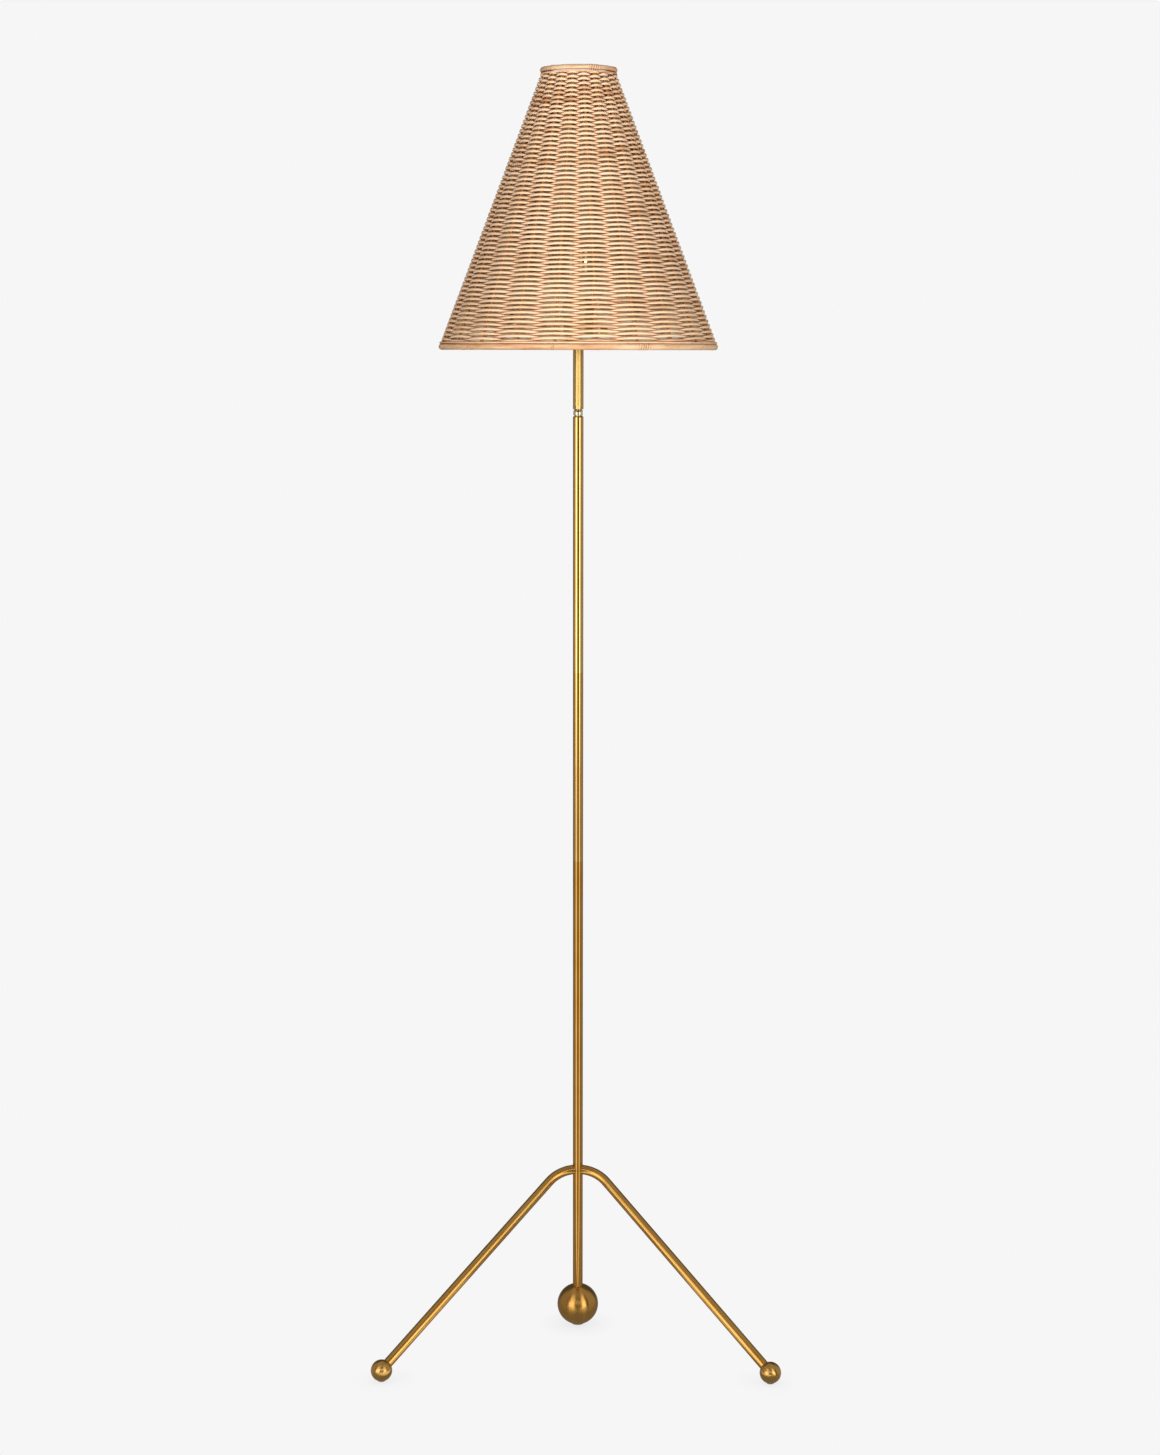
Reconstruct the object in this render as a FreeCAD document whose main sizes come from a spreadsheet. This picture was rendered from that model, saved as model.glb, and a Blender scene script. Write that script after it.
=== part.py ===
import FreeCAD, Part
import math
import os
import Sketcher

# Tripod floor lamp with a woven rattan cone shade and a brass stand.
# Millimetres. The origin is on the floor below the shade's axis, +X to the right,
# +Y to the back and +Z up. The single rear foot is the heavy ball at the stem's lower
# end, and the stem leans forward from it to the swivel under the shade.

SIZES = (
    # stem and rear foot
    ("rear_ball_dia", 48.0, "solid brass ball, the rear foot"),
    ("rear_setback", 81.0, "rear ball's centre behind the shade's axis"),
    ("pivot_height", 1072.0, "tilt axis of the swivel above the floor"),
    ("tube_dia", 11.5, "stem and upper rod, outside"),
    ("tube_wall", 1.0, "wall of the stem tube"),
    ("seam_low_height", 565.0, "joint between the lower and middle stem tubes"),
    ("seam_high_height", 783.0, "joint between the middle and upper stem tubes"),
    ("coupler_length", 40.0, "threaded nipple across each seam"),
    ("wire_bore", 5.0, "wire passage through nipples and cores"),
    ("rear_stud_dia", 8.0, "stud that holds the rear ball"),
    ("rear_stud_depth", 14.0, "depth of the rear stud below the tube's end"),
    ("rear_stud_length", 34.0, "length of the rear stud"),
    # legs and front feet
    ("hub_height", 192.5, "height where the legs meet the stem"),
    ("hub_core_length", 26.0, "brass core inside the stem at the legs"),
    ("leg_dia", 11.0, "leg tube, outside"),
    ("leg_wall", 1.2, "wall of the leg tube"),
    ("leg_bend", 42.0, "radius of the leg's bend, on its centre line"),
    ("leg_corner", 20.5, "from the stem's axis to the corner that the bend rounds"),
    ("foot_spread", 434.0, "between the centres of the two front balls"),
    ("foot_forward", 97.0, "front balls' centres in front of the shade's axis"),
    ("foot_ball_dia", 24.0, "front foot balls"),
    ("spigot_dia", 6.4, "brazing spigot between core and leg"),
    ("spigot_reach", 9.6, "spigot's end from the stem's axis"),
    ("foot_stud_dia", 5.0, "stud between leg and front ball"),
    ("foot_plug_length", 12.0, "threaded plug in the leg's lower end"),
    ("foot_stud_depth", 4.0, "from the ball's centre to the stud's end"),
    ("front_pad", 0.8, "thickness of a front glide pad"),
    ("front_pad_dia", 8.0, "front glide pads"),
    ("rear_pad", 1.2, "thickness of the rear glide pad"),
    ("rear_pad_dia", 14.0, "rear glide pad"),
    # cord inlet
    ("inlet_height", 164.0, "cord inlet in the back of the stem"),
    ("cord_bore", 5.2, "hole for the cord in its bushing"),
    ("bushing_dia", 7.0, "bushing's body through the tube wall"),
    ("bushing_flange_dia", 9.6, "bushing's flange"),
    ("bushing_flange", 1.2, "thickness of the bushing's flange"),
    # swivel
    ("swivel_ball_dia", 11.0, "split ball of the swivel"),
    ("swivel_face", 3.9, "from the tilt axis to each collar's face"),
    ("swivel_collar", 3.6, "length of each collar"),
    ("swivel_chamfer", 0.6, "chamfer on each collar's edge"),
    ("swivel_gap", 0.5, "gap between the ball's halves, for the washer"),
    ("swivel_screw_dia", 3.0, "shank of the tilt screw"),
    ("swivel_head_dia", 5.0, "head of the tilt screw"),
    ("swivel_head_depth", 1.4, "height of the tilt screw's head"),
    ("swivel_washer_dia", 8.4, "friction washer"),
    ("swivel_spigot", 12.0, "spigot of each swivel half inside its tube"),
    ("swivel_clearance", 0.2, "each collar round the other half's ball"),
    ("screw_head_sink", 0.6, "tilt screw's head below the ball's surface"),
    ("screw_end_sink", 0.4, "tilt screw's end below the ball's surface"),
    # socket and switch
    ("socket_bottom", 1146.0, "underside of the socket cap above the floor"),
    ("socket_dia", 33.0, "socket cap and shell"),
    ("socket_wall", 1.0, "wall of the cap and shell"),
    ("cap_height", 20.0, "height of the socket cap"),
    ("shell_step", 14.0, "height of the shell below its ring seat"),
    ("shell_thread", 16.0, "height of the shell above its ring seat"),
    ("thread_dia", 30.0, "thread that carries the shade's ring"),
    ("cap_neck", 3.0, "cap's neck beyond the rod, all round"),
    ("cap_shoulder", 6.5, "height of the cap's sloping shoulder"),
    ("nipple_length", 20.0, "nipple between rod and socket cap"),
    ("nipple_rise", 7.0, "nipple's top above the cap's underside"),
    ("nut_height", 3.0, "locknut inside the cap"),
    ("insert_gap", 0.4, "moulded insert inside the cap and shell"),
    ("insert_drop", 6.4, "insert's underside below the switch shaft's axis"),
    ("insert_rise", 4.0, "insert's top above the cap's edge"),
    ("sleeve_gap", 0.2, "screw sleeve round the bulb's base"),
    ("sleeve_wall", 0.5, "wall of the screw sleeve"),
    ("contact_dia", 5.0, "centre contact of the socket and of the bulb"),
    ("contact_hole", 10.0, "hole in the screw sleeve's floor"),
    ("base_taper", 3.0, "sloping underside of the bulb's base"),
    ("glass_gap", 0.5, "bulb's base beyond the shell's top edge"),
    ("lamp_thread_dia", 26.2, "screw base of the bulb"),
    ("bulb_dia", 60.0, "bulb across"),
    ("bulb_centre", 98.0, "bulb's widest point above the cap's underside"),
    ("bulb_neck_dia", 27.2, "glass at the bulb's base"),
    ("glass_wall", 0.9, "wall of the bulb's glass"),
    ("filament_dia", 1.6, "each lit filament stick"),
    ("filament_length", 26.0, "length of a filament stick"),
    ("filament_circle", 17.0, "circle that the sticks stand on, across"),
    ("filament_centre", 88.0, "middle of the sticks above the cap's underside"),
    ("filament_count", 4, "sticks round the glass stem"),
    ("filament_start", 20.0, "azimuth of the first stick, in degrees"),
    ("glass_stem_dia", 4.0, "glass stem that carries the sticks"),
    ("key_height", 15.0, "switch shaft above the cap's underside"),
    ("key_shaft_dia", 3.2, "switch shaft"),
    ("key_hole_end", 6.4, "inner end of the shaft's hole from the socket's axis"),
    ("key_knob_dia", 9.0, "switch knob"),
    ("key_knob_length", 8.0, "length of the switch knob"),
    ("key_reach", 32.0, "knob's outer end from the socket's axis"),
    # shade
    ("shade_height", 300.0, "bottom edge to top edge"),
    ("shade_bottom", 1140.0, "bottom edge above the floor"),
    ("shade_bottom_dia", 305.0, "bottom hoop, outside"),
    ("shade_top_dia", 84.0, "top hoop, outside"),
    ("hoop_bottom", 7.0, "section of the bottom hoop"),
    ("hoop_top", 5.5, "section of the top hoop"),
    ("hoop_proud", 0.8, "how far the hoops stand out from the weave"),
    ("weave_wall", 2.8, "strand in front of the stakes, with its bend"),
    ("stake_dia", 3.0, "upright stakes of the weave"),
    ("stake_count", 21, "an odd number, so that one strand can spiral up"),
    ("stake_start", 4.0, "azimuth of the first stake, in degrees"),
    ("strand_dia", 2.6, "round rattan strand of the weave"),
    ("frame_wire", 3.0, "steel wire of the shade's frame"),
    ("frame_gap", 0.3, "frame wire inside the strand behind the stakes"),
    ("arm_count", 3, "arms from the fitter ring to the bottom wire"),
    ("arm_start", 90.0, "azimuth of the first arm, in degrees"),
    ("frame_wire_rise", 13.0, "bottom frame wire above the shade's bottom edge"),
    ("top_wire_drop", 12.0, "top frame wire below the shade's top edge"),
    ("fitter_wall", 2.0, "thickness of the fitter ring"),
    ("fitter_dia", 40.0, "fitter ring, outside"),
    ("clamp_height", 6.0, "threaded ring that clamps the fitter"),
    # clearances, each the gap on one side
    ("fit", 0.04, "running and slip fits"),
    ("seam", 0.1, "pieces that meet without a fit"),
)

# A cutting tool reaches this many times past what it cuts.
PAST = 2
# Shorter than this, in millimetres, is nothing.
NOTHING = 1e-9

doc = FreeCAD.newDocument("tripod_floor_lamp")
sheet = doc.addObject("Spreadsheet::Sheet", "Sizes")


class Size:
    """A length that carries the spreadsheet expression it was worked out from."""

    def __init__(self, value, text):
        self.value = value
        self.text = text

    def __add__(self, other):
        other = as_size(other)
        return Size(self.value + other.value, f"({self.text} + {other.text})")

    def __sub__(self, other):
        other = as_size(other)
        return Size(self.value - other.value, f"({self.text} - {other.text})")

    def __mul__(self, other):
        other = as_size(other)
        return Size(self.value * other.value, f"({self.text} * {other.text})")

    def __truediv__(self, other):
        other = as_size(other)
        return Size(self.value / other.value, f"({self.text} / {other.text})")

    def __neg__(self):
        return Size(-self.value, f"(0 - {self.text})")


def as_size(number):
    return number if isinstance(number, Size) else Size(float(number), repr(float(number)))


def root(size):
    return Size(math.sqrt(size.value), f"sqrt({size.text})")


class Sizes:
    """The driving sizes by name."""


def fill_sheet():
    for row, (alias, value, note) in enumerate(SIZES, start=1):
        sheet.set(f"A{row}", alias)
        sheet.set(f"B{row}", str(value))
        sheet.set(f"C{row}", note)
        sheet.setAlias(f"B{row}", alias)
        setattr(Sizes, alias, Size(float(value), f"Sizes.{alias}"))
    doc.recompute()


fill_sheet()
S = Sizes

# ---------------------------------------------------------------- derived sizes

tube_r = S.tube_dia / 2
tube_bore = tube_r - S.tube_wall
leg_r = S.leg_dia / 2
leg_bore = leg_r - S.leg_wall
rear_r = S.rear_ball_dia / 2
foot_r = S.foot_ball_dia / 2

# The stem runs from the rear ball's centre up to the tilt axis.
stem_rise = S.pivot_height - rear_r
stem_length = root(stem_rise * stem_rise + S.rear_setback * S.rear_setback)


def along_stem(height):
    """Distance up the stem's axis from the rear ball's centre to a height above the floor."""
    return (height - rear_r) * stem_length / stem_rise


hub_along = along_stem(S.hub_height)
hub_back = S.rear_setback * (S.pivot_height - S.hub_height) / stem_rise

# Each leg lies in a plane through the hub that holds the X axis and the foot's centre.
leg_back = hub_back + S.foot_forward
leg_fall = S.hub_height - foot_r
leg_drop = root(leg_back * leg_back + leg_fall * leg_fall)
leg_run = S.foot_spread / 2 - S.leg_corner
leg_straight = root(leg_run * leg_run + leg_drop * leg_drop)
leg_cos = leg_run / leg_straight
leg_sin = leg_drop / leg_straight
leg_tangent = S.leg_bend * leg_sin / (leg_cos + 1)

# The shade's wall, as radii at the weave's lower and upper edges.
shade_top = S.shade_bottom + S.shade_height
weave_low = S.shade_bottom + S.hoop_bottom + S.seam
weave_high = shade_top - S.hoop_top - S.seam
weave_low_r = S.shade_bottom_dia / 2 - S.hoop_proud
weave_high_r = S.shade_top_dia / 2 - S.hoop_proud
weave_taper = (weave_low_r - weave_high_r) / (weave_high - weave_low)
weave_slant = root(weave_taper * weave_taper + 1)


def weave_radius(height):
    """Outside radius of the weave at a height above the floor."""
    return weave_low_r - weave_taper * (height - weave_low)


def inside_weave(height, depth):
    """Radius that lies a depth, square to the wall, inside the weave's inner face."""
    return weave_radius(height) - S.weave_wall - depth * weave_slant


# ---------------------------------------------------------------- placements

X_AXIS = FreeCAD.Vector(1, 0, 0)
Z_AXIS = FreeCAD.Vector(0, 0, 1)
lean = math.degrees(math.atan2(S.rear_setback.value, stem_rise.value))


def shift(x, y, z):
    """A placement that only moves, from Size or plain numbers."""
    base = FreeCAD.Vector(as_size(x).value, as_size(y).value, as_size(z).value)
    return FreeCAD.Placement(base, FreeCAD.Rotation())


def turn(axis, degrees):
    return FreeCAD.Placement(FreeCAD.Vector(), FreeCAD.Rotation(axis, degrees))


AT_STEM = shift(0, S.rear_setback, rear_r) * turn(X_AXIS, lean)
AT_PIVOT = shift(0, 0, S.pivot_height)
AT_PIVOT_LEANING = AT_PIVOT * turn(X_AXIS, lean)
AT_SOCKET = shift(0, 0, S.socket_bottom)


def leg_placement(side):
    """The leg's own frame: X out to its side, -Z down and forward to the foot."""
    out = FreeCAD.Vector(side, 0, 0)
    up = FreeCAD.Vector(0, leg_back.value, leg_fall.value)
    up.normalize()
    rotation = FreeCAD.Rotation(out, up.cross(out), up, "XYZ")
    return FreeCAD.Placement(FreeCAD.Vector(0, hub_back.value, S.hub_height.value), rotation)


# ---------------------------------------------------------------- building blocks

pieces = {}


def bind(feature, **sizes):
    for name, size in sizes.items():
        size = as_size(size)
        setattr(feature, name, size.value)
        feature.setExpression(name, size.text)


def plane_of(body, role):
    return next(item for item in body.Origin.OriginFeatures if item.Role == role)


def new_sketch(body, name, role):
    sketch = body.newObject("Sketcher::SketchObject", name)
    sketch.AttachmentSupport = (plane_of(body, role), [""])
    sketch.MapMode = "FlatFace"
    return sketch


def pin_point(sketch, line, end, x, y):
    """Ties one point of a sketch to its two coordinates in the sheet's sizes."""
    for kind, axis, size in (("DistanceX", -2, x), ("DistanceY", -1, y)):
        if abs(size.value) < NOTHING:
            sketch.addConstraint(Sketcher.Constraint("PointOnObject", line, end, axis))
            continue
        number = sketch.addConstraint(Sketcher.Constraint(kind, -1, 1, line, end, size.value))
        sketch.setExpression(f"Constraints[{number}]", size.text)


def add_outline(sketch, corners):
    """A closed outline of straight lines, every corner tied to the sheet."""
    corners = [(as_size(x), as_size(y)) for x, y in corners]
    points = [FreeCAD.Vector(x.value, y.value, 0) for x, y in corners]
    count = len(points)
    for i in range(count):
        sketch.addGeometry(Part.LineSegment(points[i], points[(i + 1) % count]), False)
    for i in range(count):
        sketch.addConstraint(Sketcher.Constraint("Coincident", i, 2, (i + 1) % count, 1))
    for i, (x, y) in enumerate(corners):
        pin_point(sketch, i, 1, x, y)


def add_circle(sketch, radius, x=0, y=0):
    radius, x, y = as_size(radius), as_size(x), as_size(y)
    centre = FreeCAD.Vector(x.value, y.value, 0)
    circle = sketch.addGeometry(Part.Circle(centre, Z_AXIS, radius.value), False)
    pin_point(sketch, circle, 3, x, y)
    number = sketch.addConstraint(Sketcher.Constraint("Radius", circle, radius.value))
    sketch.setExpression(f"Constraints[{number}]", radius.text)


def turned(name, corners):
    """A piece turned about its own Z axis from an outline of (radius, height) corners."""
    body = doc.addObject("PartDesign::Body", name)
    sketch = new_sketch(body, f"{name}_outline", "XZ_Plane")
    add_outline(sketch, corners)
    turning = body.newObject("PartDesign::Revolution", f"{name}_turned")
    turning.Profile = sketch
    turning.ReferenceAxis = (sketch, ["V_Axis"])
    turning.Angle = 360
    sketch.Visibility = False
    return body


def tube(name, outer, inner, low, high):
    """A straight tube or ring along its own Z axis."""
    return turned(name, [(inner, low), (outer, low), (outer, high), (inner, high)])


def rod(name, radius, low, high, axis="Z"):
    """A solid cylinder on its own Z, X or Y axis, used as a piece or as a cutting tool."""
    cylinder = doc.addObject("Part::Cylinder", name)
    bind(cylinder, Radius=radius, Height=as_size(high) - low)
    along = {
        "Z": FreeCAD.Rotation(),
        "X": FreeCAD.Rotation(FreeCAD.Vector(0, 1, 0), 90),
        "Y": FreeCAD.Rotation(X_AXIS, -90),
    }[axis]
    start = along.multVec(FreeCAD.Vector(0, 0, as_size(low).value))
    cylinder.Placement = FreeCAD.Placement(start, along)
    return cylinder


def ball(name, radius):
    sphere = doc.addObject("Part::Sphere", name)
    bind(sphere, Radius=radius)
    return sphere


def block(name, low, high):
    """A box between two corners, as a cutting tool."""
    box = doc.addObject("Part::Box", name)
    low = [as_size(v) for v in low]
    high = [as_size(v) for v in high]
    bind(box, Length=high[0] - low[0], Width=high[1] - low[1], Height=high[2] - low[2])
    box.Placement = shift(*low)
    return box


def placed(feature, placement):
    feature.Placement = placement * feature.Placement
    return feature


def cut(name, base, *tools):
    for number, tool in enumerate(tools, start=1):
        last = number == len(tools)
        result = doc.addObject("Part::Cut", name if last else f"{name}_cut_{number}")
        result.Base = base
        result.Tool = tool
        base = result
    return base


def common(name, base, tool):
    result = doc.addObject("Part::Common", name)
    result.Base = base
    result.Tool = tool
    return result


def joined(name, *parts):
    result = doc.addObject("Part::MultiFuse", name)
    result.Shapes = list(parts)
    return result


def group(name, *parts):
    """Several separate solids that share one node, such as a pair of studs."""
    result = doc.addObject("Part::Compound", name)
    result.Links = list(parts)
    return result


def piece(node, feature, placement=None):
    """Registers a finished sub-part under its node name."""
    if placement is not None:
        feature.Placement = placement
    feature.Label = node
    pieces[node] = feature


# ---------------------------------------------------------------- stem


def make_stem():
    seam_low = along_stem(S.seam_low_height)
    seam_high = along_stem(S.seam_high_height)
    foot_end = root(rear_r * rear_r - tube_r * tube_r)
    top_end = stem_length - S.swivel_face - S.swivel_collar - S.seam / 2
    inlet = along_stem(S.inlet_height)

    lower = tube("lower_tube", tube_r, tube_bore, 0, seam_low - S.seam / 2)
    ball_seat = ball("lower_ball_seat", rear_r + S.seam / 2)
    hub_hole = placed(
        rod("lower_hub_hole", S.spigot_dia / 2 + S.fit, -S.tube_dia, S.tube_dia, "X"),
        shift(0, 0, hub_along),
    )
    inlet_hole = placed(
        rod("lower_inlet_hole", S.bushing_dia / 2 + S.fit, 0, S.tube_dia, "Y"),
        shift(0, 0, inlet),
    )
    piece("stem_lower", cut("stem_lower_cut", lower, ball_seat, hub_hole, inlet_hole), AT_STEM)

    middle = tube(
        "stem_middle_tube", tube_r, tube_bore, seam_low + S.seam / 2, seam_high - S.seam / 2
    )
    piece("stem_middle", middle, AT_STEM)
    upper = tube("stem_upper_tube", tube_r, tube_bore, seam_high + S.seam / 2, top_end)
    piece("stem_upper", upper, AT_STEM)

    for name, centre in (("coupler_lower", seam_low), ("coupler_upper", seam_high)):
        half = S.coupler_length / 2
        nipple = tube(f"{name}_nipple", tube_bore - S.fit, S.wire_bore / 2, centre - half, centre + half)
        piece(f"stem_{name}", nipple, AT_STEM)

    # Rear ball, bored from its top for the stud and flattened underneath for its pad.
    stud_low = foot_end - S.rear_stud_depth
    stud_high = stud_low + S.rear_stud_length
    stud_r = S.rear_stud_dia / 2
    sphere = placed(ball("rear_sphere", rear_r), AT_STEM)
    stud_hole = placed(rod("rear_stud_hole", stud_r + S.fit, stud_low - S.seam, rear_r * PAST), AT_STEM)
    size = S.rear_ball_dia
    flat = block(
        "rear_flat",
        (-size, S.rear_setback - size, -size),
        (size, S.rear_setback + size, S.rear_pad + S.fit),
    )
    piece("rear_ball", cut("rear_ball_cut", sphere, stud_hole, flat))
    piece("rear_ball_stud", rod("rear_stud_rod", stud_r, stud_low, stud_high), AT_STEM * shift(0, 0, stud_low))
    plug_low = rear_r + S.seam
    plug = tube("rear_plug_ring", tube_bore - S.fit, stud_r + S.fit, plug_low, stud_high)
    piece("rear_stud_plug", plug, AT_STEM)
    pad = rod("rear_pad_disc", S.rear_pad_dia / 2, 0, S.rear_pad)
    piece("rear_glide_pad", pad, shift(0, S.rear_setback, 0))


# ---------------------------------------------------------------- legs


def make_leg_tube(name, placement):
    """A tube bent once: out from the stem, then straight down to the foot."""
    body = doc.addObject("PartDesign::Body", f"{name}_bent")
    path = new_sketch(body, f"{name}_path", "XZ_Plane")
    bend_x = S.leg_corner - leg_tangent
    end_x = S.leg_corner + leg_tangent * leg_cos
    end_z = -(leg_tangent * leg_sin)
    foot_x = S.foot_spread / 2
    start = FreeCAD.Vector(bend_x.value, 0, 0)
    end = FreeCAD.Vector(end_x.value, end_z.value, 0)
    centre = FreeCAD.Vector(bend_x.value, -S.leg_bend.value, 0)
    circle = Part.Circle(centre, Z_AXIS, S.leg_bend.value)
    first = math.atan2(end.y - centre.y, end.x - centre.x)
    path.addGeometry(Part.ArcOfCircle(circle, first, math.pi / 2), False)
    path.addGeometry(Part.LineSegment(end, FreeCAD.Vector(foot_x.value, -leg_drop.value, 0)), False)
    path.addConstraint(Sketcher.Constraint("Coincident", 0, 1, 1, 1))
    pin_point(path, 0, 2, bend_x, as_size(0))
    pin_point(path, 0, 1, end_x, end_z)
    pin_point(path, 1, 2, foot_x, -leg_drop)
    number = path.addConstraint(Sketcher.Constraint("Radius", 0, S.leg_bend.value))
    path.setExpression(f"Constraints[{number}]", S.leg_bend.text)
    doc.recompute()
    ring = new_sketch(body, f"{name}_ring", "YZ_Plane")
    add_circle(ring, leg_r)
    add_circle(ring, leg_bore)
    ring.AttachmentOffset = shift(0, 0, bend_x)
    ring.setExpression("AttachmentOffset.Base.z", bend_x.text)
    doc.recompute()
    sweep = body.newObject("PartDesign::AdditivePipe", f"{name}_sweep")
    sweep.Profile = ring
    sweep.Spine = (path, ["Edge1", "Edge2"])
    body.Placement = placement
    return body


def make_legs():
    plug_low = foot_r + S.seam
    plug_high = plug_low + S.foot_plug_length
    spigots, studs, plugs, pads = [], [], [], []
    for side, word in ((-1, "left"), (1, "right")):
        frame = leg_placement(side)
        # The foot's frame: its Z axis runs up the straight of the leg.
        angle = math.degrees(math.atan2(leg_run.value, leg_drop.value))
        foot_frame = frame * shift(S.foot_spread / 2, 0, -leg_drop) * turn(FreeCAD.Vector(0, 1, 0), -angle)

        bent = make_leg_tube(word, frame)
        stem_seat = placed(
            rod(f"{word}_stem_seat", tube_r + S.seam / 2, 0, along_stem(S.seam_low_height)), AT_STEM
        )
        ball_seat = placed(ball(f"{word}_ball_seat", foot_r + S.seam / 2), foot_frame)
        piece(f"leg_{word}", cut(f"leg_{word}_cut", bent, stem_seat, ball_seat))

        stud_r = S.foot_stud_dia / 2
        sphere = placed(ball(f"{word}_sphere", foot_r), foot_frame)
        hole = placed(
            rod(f"{word}_stud_hole", stud_r + S.fit, S.foot_stud_depth - S.seam, foot_r * PAST), foot_frame
        )
        centre_x = S.foot_spread / 2 * side
        flat = block(
            f"{word}_flat",
            (centre_x - S.foot_ball_dia, -S.foot_forward - S.foot_ball_dia, -S.foot_ball_dia),
            (centre_x + S.foot_ball_dia, S.foot_ball_dia - S.foot_forward, S.front_pad + S.fit),
        )
        piece(f"foot_ball_{word}", cut(f"foot_ball_{word}_cut", sphere, hole, flat))
        studs.append(placed(rod(f"{word}_stud", stud_r, S.foot_stud_depth, plug_high), foot_frame))
        plug = tube(f"{word}_plug", leg_bore - S.fit, stud_r + S.fit, plug_low, plug_high)
        plugs.append(placed(plug, foot_frame))
        spigot = rod(f"{word}_spigot", S.spigot_dia / 2, S.wire_bore / 2 + S.seam, S.spigot_reach, "X")
        spigots.append(placed(spigot, shift(0, hub_back, S.hub_height) * turn(Z_AXIS, 90 - 90 * side)))
        pad = rod(f"{word}_pad", S.front_pad_dia / 2, 0, S.front_pad)
        pads.append(placed(pad, shift(centre_x, -S.foot_forward, 0)))

    core = tube(
        "hub_core_ring",
        tube_bore - S.fit,
        S.wire_bore / 2,
        hub_along - S.hub_core_length / 2,
        hub_along + S.hub_core_length / 2,
    )
    cross = placed(
        rod("hub_core_cross", S.spigot_dia / 2 + S.fit, -S.tube_dia, S.tube_dia, "X"),
        shift(0, 0, hub_along),
    )
    piece("hub_core", cut("hub_core_cut", core, cross), AT_STEM)
    piece("leg_spigots", group("leg_spigots_pair", *spigots))
    piece("foot_studs", group("foot_studs_pair", *studs))
    piece("leg_end_plugs", group("leg_end_plugs_pair", *plugs))
    piece("front_glide_pads", group("front_glide_pads_pair", *pads))


def make_cord_bushing():
    """A flanged bushing through the back of the stem; its own Z axis points out of the back."""
    body_r = S.bushing_dia / 2
    bore = S.cord_bore / 2
    inner = tube_bore - S.tube_wall
    seat = tube_r + S.seam / 2
    face = seat + S.bushing_flange
    corners = [
        (bore, inner),
        (body_r, inner),
        (body_r, seat),
        (S.bushing_flange_dia / 2, seat),
        (S.bushing_flange_dia / 2, face),
        (bore, face),
    ]
    at_inlet = AT_STEM * shift(0, 0, along_stem(S.inlet_height)) * turn(X_AXIS, -90)
    piece("cord_bushing", turned("cord_bushing_body", corners), at_inlet)


# ---------------------------------------------------------------- swivel


def make_swivel_half(name, side, placement):
    """One half of the split ball with its collar and spigot, pointing up its own Z axis.

    The half ball is on the given side of the X axis. On the other side the collar is
    hollowed, so that it passes round the other half.
    """
    ball_r = S.swivel_ball_dia / 2
    top = S.swivel_face + S.swivel_collar
    spigot_end = top + S.swivel_spigot
    reach = S.swivel_ball_dia * PAST
    collar = turned(
        f"{name}_collar",
        [
            (0, S.swivel_face),
            (tube_r - S.swivel_chamfer, S.swivel_face),
            (tube_r, S.swivel_face + S.swivel_chamfer),
            (tube_r, top),
            (tube_bore - S.fit, top),
            (tube_bore - S.fit, spigot_end),
            (0, spigot_end),
        ],
    )
    gap = S.swivel_gap / 2
    own = (gap, reach) if side > 0 else (-reach, -gap)
    other = (-reach, gap) if side > 0 else (-gap, reach)
    own_side = block(f"{name}_own_side", (own[0], -reach, -reach), (own[1], reach, reach))
    other_side = block(f"{name}_other_side", (other[0], -reach, -reach), (other[1], reach, reach))
    seat = common(f"{name}_seat", ball(f"{name}_seat_ball", ball_r + S.swivel_clearance), other_side)
    half_ball = common(f"{name}_half_ball", ball(f"{name}_ball", ball_r), own_side)
    whole = joined(f"{name}_whole", cut(f"{name}_hollowed", collar, seat), half_ball)
    wires = rod(f"{name}_wires", S.swivel_screw_dia / 2, S.swivel_screw_dia, spigot_end + S.seam)
    shank = S.swivel_screw_dia / 2 + S.fit
    tools = [wires, rod(f"{name}_shank_hole", shank, -reach, reach, "X")]
    if side > 0:
        head_seat = ball_r - S.swivel_head_depth - S.screw_head_sink
        head_r = S.swivel_head_dia / 2 + S.fit
        tools.append(rod(f"{name}_head_hole", head_r, head_seat, reach, "X"))
    piece(name, cut(f"{name}_cut", whole, *tools), placement)


def make_swivel():
    make_swivel_half("swivel_upper", 1, AT_PIVOT)
    make_swivel_half("swivel_lower", -1, AT_PIVOT_LEANING * turn(FreeCAD.Vector(0, 1, 0), 180) * turn(Z_AXIS, 180))
    ball_r = S.swivel_ball_dia / 2
    head_low = ball_r - S.swivel_head_depth - S.screw_head_sink + S.fit
    end = S.screw_end_sink - ball_r
    shank_r = S.swivel_screw_dia / 2
    screw = turned(
        "tilt_screw_turned",
        [
            (0, end),
            (shank_r, end),
            (shank_r, head_low),
            (S.swivel_head_dia / 2, head_low),
            (S.swivel_head_dia / 2, head_low + S.swivel_head_depth),
            (0, head_low + S.swivel_head_depth),
        ],
    )
    slot = block(
        "tilt_screw_slot",
        (-S.swivel_head_dia, -S.swivel_gap / 2, head_low + S.swivel_head_depth / 2),
        (S.swivel_head_dia, S.swivel_gap / 2, ball_r * PAST),
    )
    across = turn(FreeCAD.Vector(0, 1, 0), 90)
    piece("tilt_screw", cut("tilt_screw_cut", screw, slot), AT_PIVOT_LEANING * across)
    half_gap = S.swivel_gap / 2 - S.fit / 2
    washer = tube("tilt_washer_ring", S.swivel_washer_dia / 2, shank_r + S.fit, -half_gap, half_gap)
    piece("tilt_washer", washer, AT_PIVOT_LEANING * across)


# ---------------------------------------------------------------- rod and socket


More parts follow.
